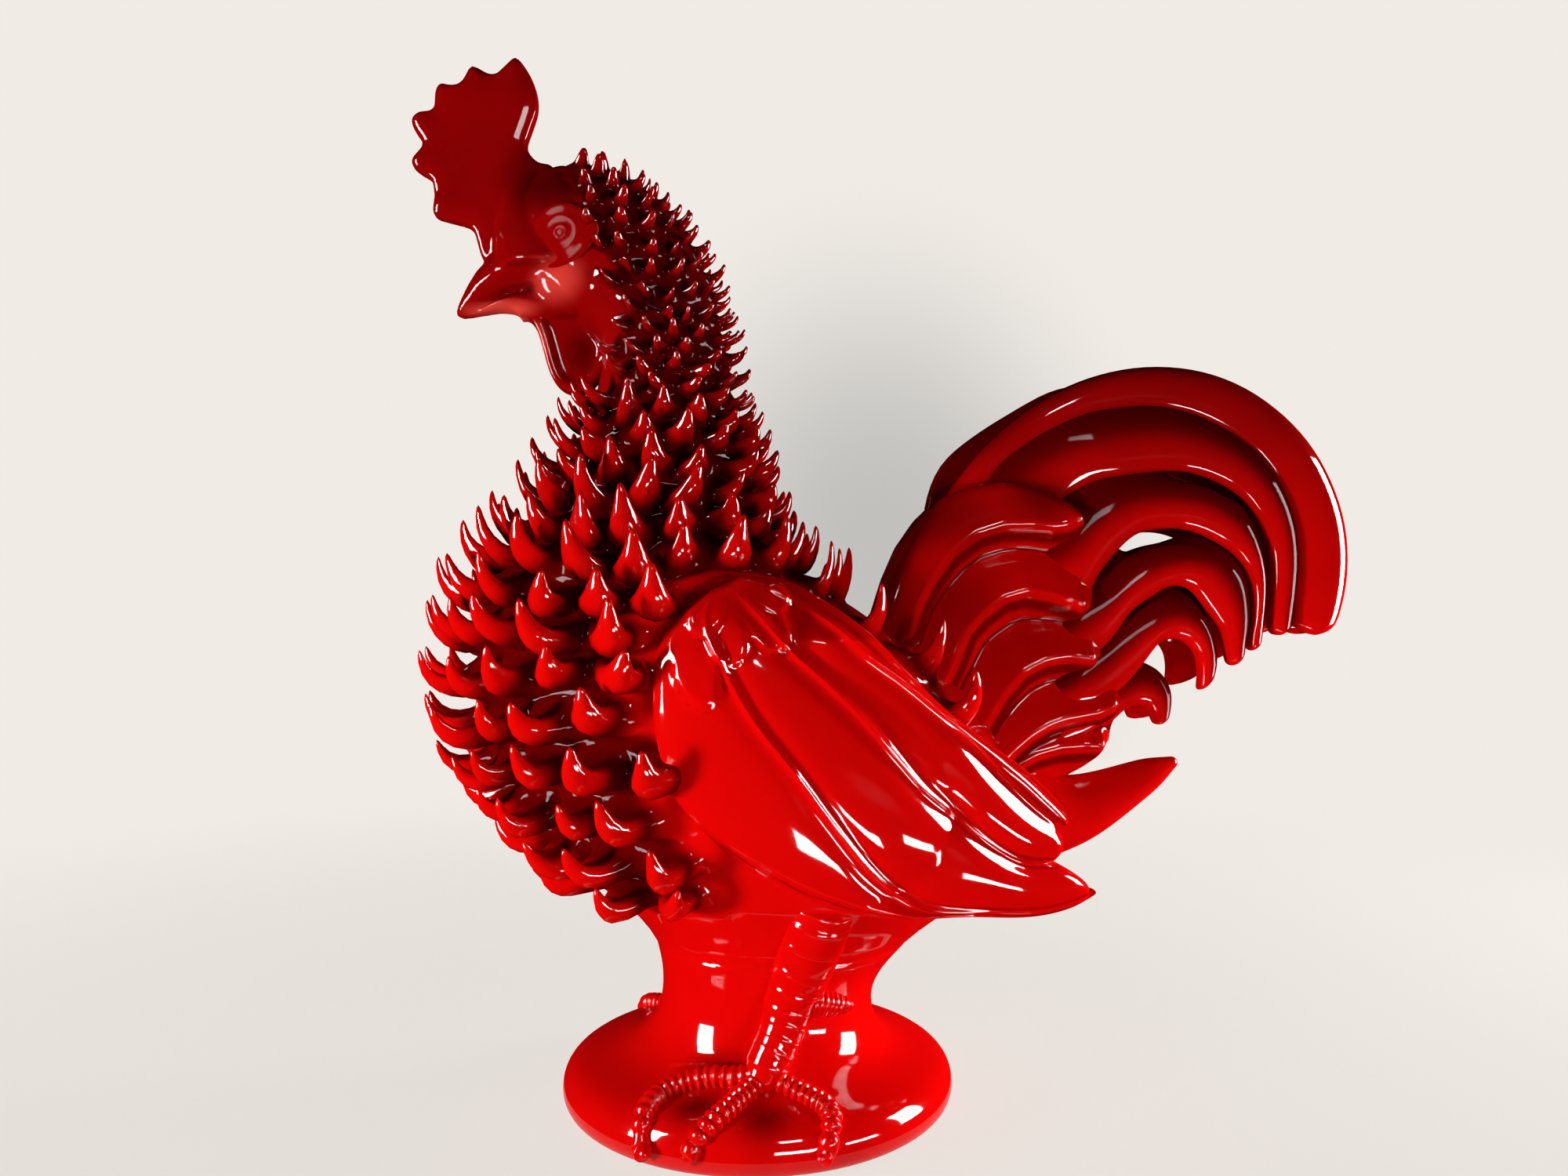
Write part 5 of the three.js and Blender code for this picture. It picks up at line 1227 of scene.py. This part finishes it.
def nearest(x, z, line):
    """Distance to a line, and on which side of it the place is: 1 is above."""
    best = (FAR, 1)
    for (x0, z0), (x1, z1) in zip(line, line[1:]):
        run, rise = x1 - x0, z1 - z0
        share = clamp(((x - x0) * run + (z - z0) * rise) / (run * run + rise * rise))
        apart = math.hypot(x - x0 - run * share, z - z0 - rise * share)
        if apart < best[0]:
            best = (apart, 1 if run * (z - z0) - rise * (x - x0) > 0 else -1)
    return best


def soft_most(a, b, width):
    """The larger of two, with a rounded valley where they meet."""
    near = max(0.0, width - abs(a - b))
    return max(a, b) + near * near / (4 * width)


def tail_root(bm):
    """The short feathers over the root of the tail: each rises to a ridge and drops under it."""
    across, up = 92, 110
    start = len(bm.verts)
    bmesh.ops.create_grid(bm, x_segments=across, y_segments=up, size=1.0)
    bm.verts.ensure_lookup_table()
    pool_and_shade = bm.verts.layers.float["pool_and_shade"]
    left = [(z, x) for x, z in TAIL_ROOT_LEFT]
    right = [(z, x) for x, z in TAIL_ROOT_RIGHT]
    fresh = bm.verts[start:]
    for vert in fresh:
        u, v = (vert.co.x + 1) / 2, (vert.co.y + 1) / 2
        z = left[0][0] + (left[-1][0] - left[0][0]) * v
        low, high = straight(left, z), straight(right, z)
        x = low + (high - low) * u
        depth, second, pool_shade = 3.0, 3.0, 0.0
        for line, crest, fall_above in TAIL_RIDGES:
            end_x, end_z = line[-1]
            apart, side = nearest(x, z, line)
            if side > 0:
                fall = fall_above * (apart / 17) ** 1.35
            else:
                fall = math.hypot(apart, 1.6) - 1.6
                recess = soft_step(1.5, 4.5, apart) * soft_step(11, 6, apart)
                pool_shade = max(pool_shade, 0.85 * recess * soft_step(end_x + 9, end_x, x))
            knuckle = 1.8 * bell(math.hypot(x - end_x, z - end_z), 0, 4.0)
            past = max(0.0, x - end_x - 1.0)
            tent = crest - fall + 0.7 * bell(apart, 0, 2.0) + knuckle - 0.55 * past
            second = max(second, min(depth, tent))
            depth = soft_most(depth, tent, 2.0)
        edge = min(nearest(x, z, TAIL_ROOT_LEFT)[0], nearest(x, z, TAIL_ROOT_RIGHT)[0])
        rim = TAIL_ROOT_RIM
        depth -= rim - math.sqrt(max(0.0, rim**2 - max(0.0, rim - edge) ** 2))
        # Painted shade, with pooling glaze, in the valleys where ridges meet and under each ridge.
        vert[pool_and_shade] = max(0.9 * soft_step(3.2, 0.3, depth - second), pool_shade)
        vert.co = Vector((x, -max(0.6, depth), z))
    faces = dict.fromkeys(face for vert in fresh for face in vert.link_faces)
    for vert in drawn_out(bm, list(faces)):
        vert.co.y = -0.2


def tail(bm):
    bm.verts.layers.float.new("pool_and_shade")
    tail_root(bm)
    for outer, inner, crest, kind, pierced in FEATHERS:
        feather(bm, outer, inner, crest, kind, pierced)


def tube(bm, line, radii, count, level=Vector((0, 0, 1))):
    """A rolled coil of clay along a line, with a rounded end."""
    sections = []
    for i, place in enumerate(line):
        ahead = (line[min(len(line) - 1, i + 1)] - line[max(0, i - 1)]).normalized()
        side = ahead.cross(level).normalized()
        over = side.cross(ahead).normalized()
        sections.append([
            place + side * radii[i] * math.cos(2 * math.pi * (k + 0.5) / count)
            + over * radii[i] * math.sin(2 * math.pi * (k + 0.5) / count)
            for k in range(count)
        ])
    last, centre = sections[-1], line[-1]
    ahead = (centre - line[-2]).normalized() * min((p - centre).length for p in last)
    for step in (1, 2, 3):
        angle = math.pi / 2 * step / 3.35
        round_end = centre + ahead * math.sin(angle)
        sections.append([round_end + (p - centre) * math.cos(angle) for p in last])
    loft(bm, sections)


def rear_point(bm):
    line = side_line([(x, z) for x, z, _ in REAR_POINT], 12)
    radii = [along([(x, r) for x, _, r in REAR_POINT], p.x)[0] for p in line]
    tube(bm, line, radii, 16)


# Legs, feet and spurs.


def foot_top(x, y):
    """Height of the foot's upper side at a place, found by halving."""
    reach = math.hypot(x, y)
    low, high = 9.0, 40.0
    for _ in range(24):
        middle = (low + high) / 2
        if along(STEM, middle)[1] > reach:
            low = middle
        else:
            high = middle
    return low


def leg(bm):
    stations = 96
    line = even_line([(x, y, z) for x, y, z, _ in LEG], stations)
    radii = []
    for place, width in zip(line, side_line([(r, z) for _, _, z, r in LEG], stations)):
        above = min((z for z in LEG_RINGS if z >= place.z), default=LEG_RINGS[0])
        below = max((z for z in LEG_RINGS if z < place.z), default=LEG_RINGS[-1])
        swell = 0.25 * math.sin(math.pi * clamp((place.z - below) / max(1.0, above - below)))
        near = min(abs(place.z - z) for z in LEG_RINGS)
        radii.append(width.x + 0.3 + swell + 0.6 * bell(near, 0, 0.7))
    tube(bm, line, radii, 24, level=Vector((1, 0, 0)))


def foot(bm):
    stations = 85
    for path in TOES:
        flat = even_line([(x, y, 0) for x, y in path], stations)
        line = [Vector((p.x, p.y, foot_top(p.x, p.y) + TOE["over"])) for p in flat]
        ridges = max(4, round(length_of(line) / TOE["ridge_apart"]))
        radii = []
        for i in range(stations):
            t = i / (stations - 1)
            ridge = abs(math.sin(math.pi * t * ridges)) ** 0.7
            radii.append(TOE["radius"] + TOE["ridge"] * ridge - TOE["taper"] * t**4)
        tube(bm, line, radii, 12)


def spur(bm):
    stations = 41
    root, tip = (Vector(end) for end in SPUR["ends"])
    radii = []
    for i in range(stations):
        t = i / (stations - 1)
        ring = abs(math.sin(math.pi * t * SPUR["rings"]))
        radii.append(SPUR["radius"] - SPUR["taper"] * t**2 + SPUR["ring"] * ring)
    tube(bm, even_line([root, (root + tip) / 2, tip], stations), radii, 16)


# Assembly.

photo_camera()
pale_world()
studio()
soft_boxes()

body_glaze = red_glaze(
    "red_glaze_body", 0.12, gloss=0.42, thin=0.08, unglazed_foot=True, pool_and_shade=True,
    painted_spots=FOOT_POOLS_AND_SHADE + FACE_PAINTED_LIGHT,
)
limb_glaze = red_glaze("red_glaze_limbs", 0.10, gloss=0.17, thin=0.8)
relief_glaze = red_glaze("red_glaze_relief", 0.08, pool_and_shade=True)
tail_glaze = red_glaze("red_glaze_tail", 0.04, pool_and_shade=True, painted_spots=TAIL_PAINTED_SHADE)
face_glaze = red_glaze("red_glaze_face", 0.12, gloss=0.13, thin=0.6, painted_spots=FACE_PAINTED_LIGHT)
eye_glaze = red_glaze("red_glaze_eye", 0.12, gloss=0.012, thin=0.9)

shells = ("pedestal", "body_shell", "neck_shell", "head_shell")
glazed_piece("cast_body", cast_skin, shells, body_glaze)
face_nodes = ("comb", "wattle", "upper_beak", "lower_beak")
work_together(glazed_piece("face_glazed", face_front, face_nodes, face_glaze, levels=0))
glazed_piece("rear_point_glazed", rear_point, ("rear_point",), body_glaze, levels=2)
for side, mirror in (("left", False), ("right", True)):
    for part, shape, glaze in (
        ("eye", eye, eye_glaze),
        ("wing", wing, relief_glaze),
        ("tail", tail, tail_glaze),
        ("leg", leg, relief_glaze),
        ("foot", foot, limb_glaze),
        ("spur", spur, limb_glaze),
    ):
        node = part + "_" + side
        glazed_piece(part + "_glazed_" + side, shape, (node,), glaze, mirror=mirror)

view_settings = bpy.context.scene.view_settings
view_settings.view_transform = "Standard"
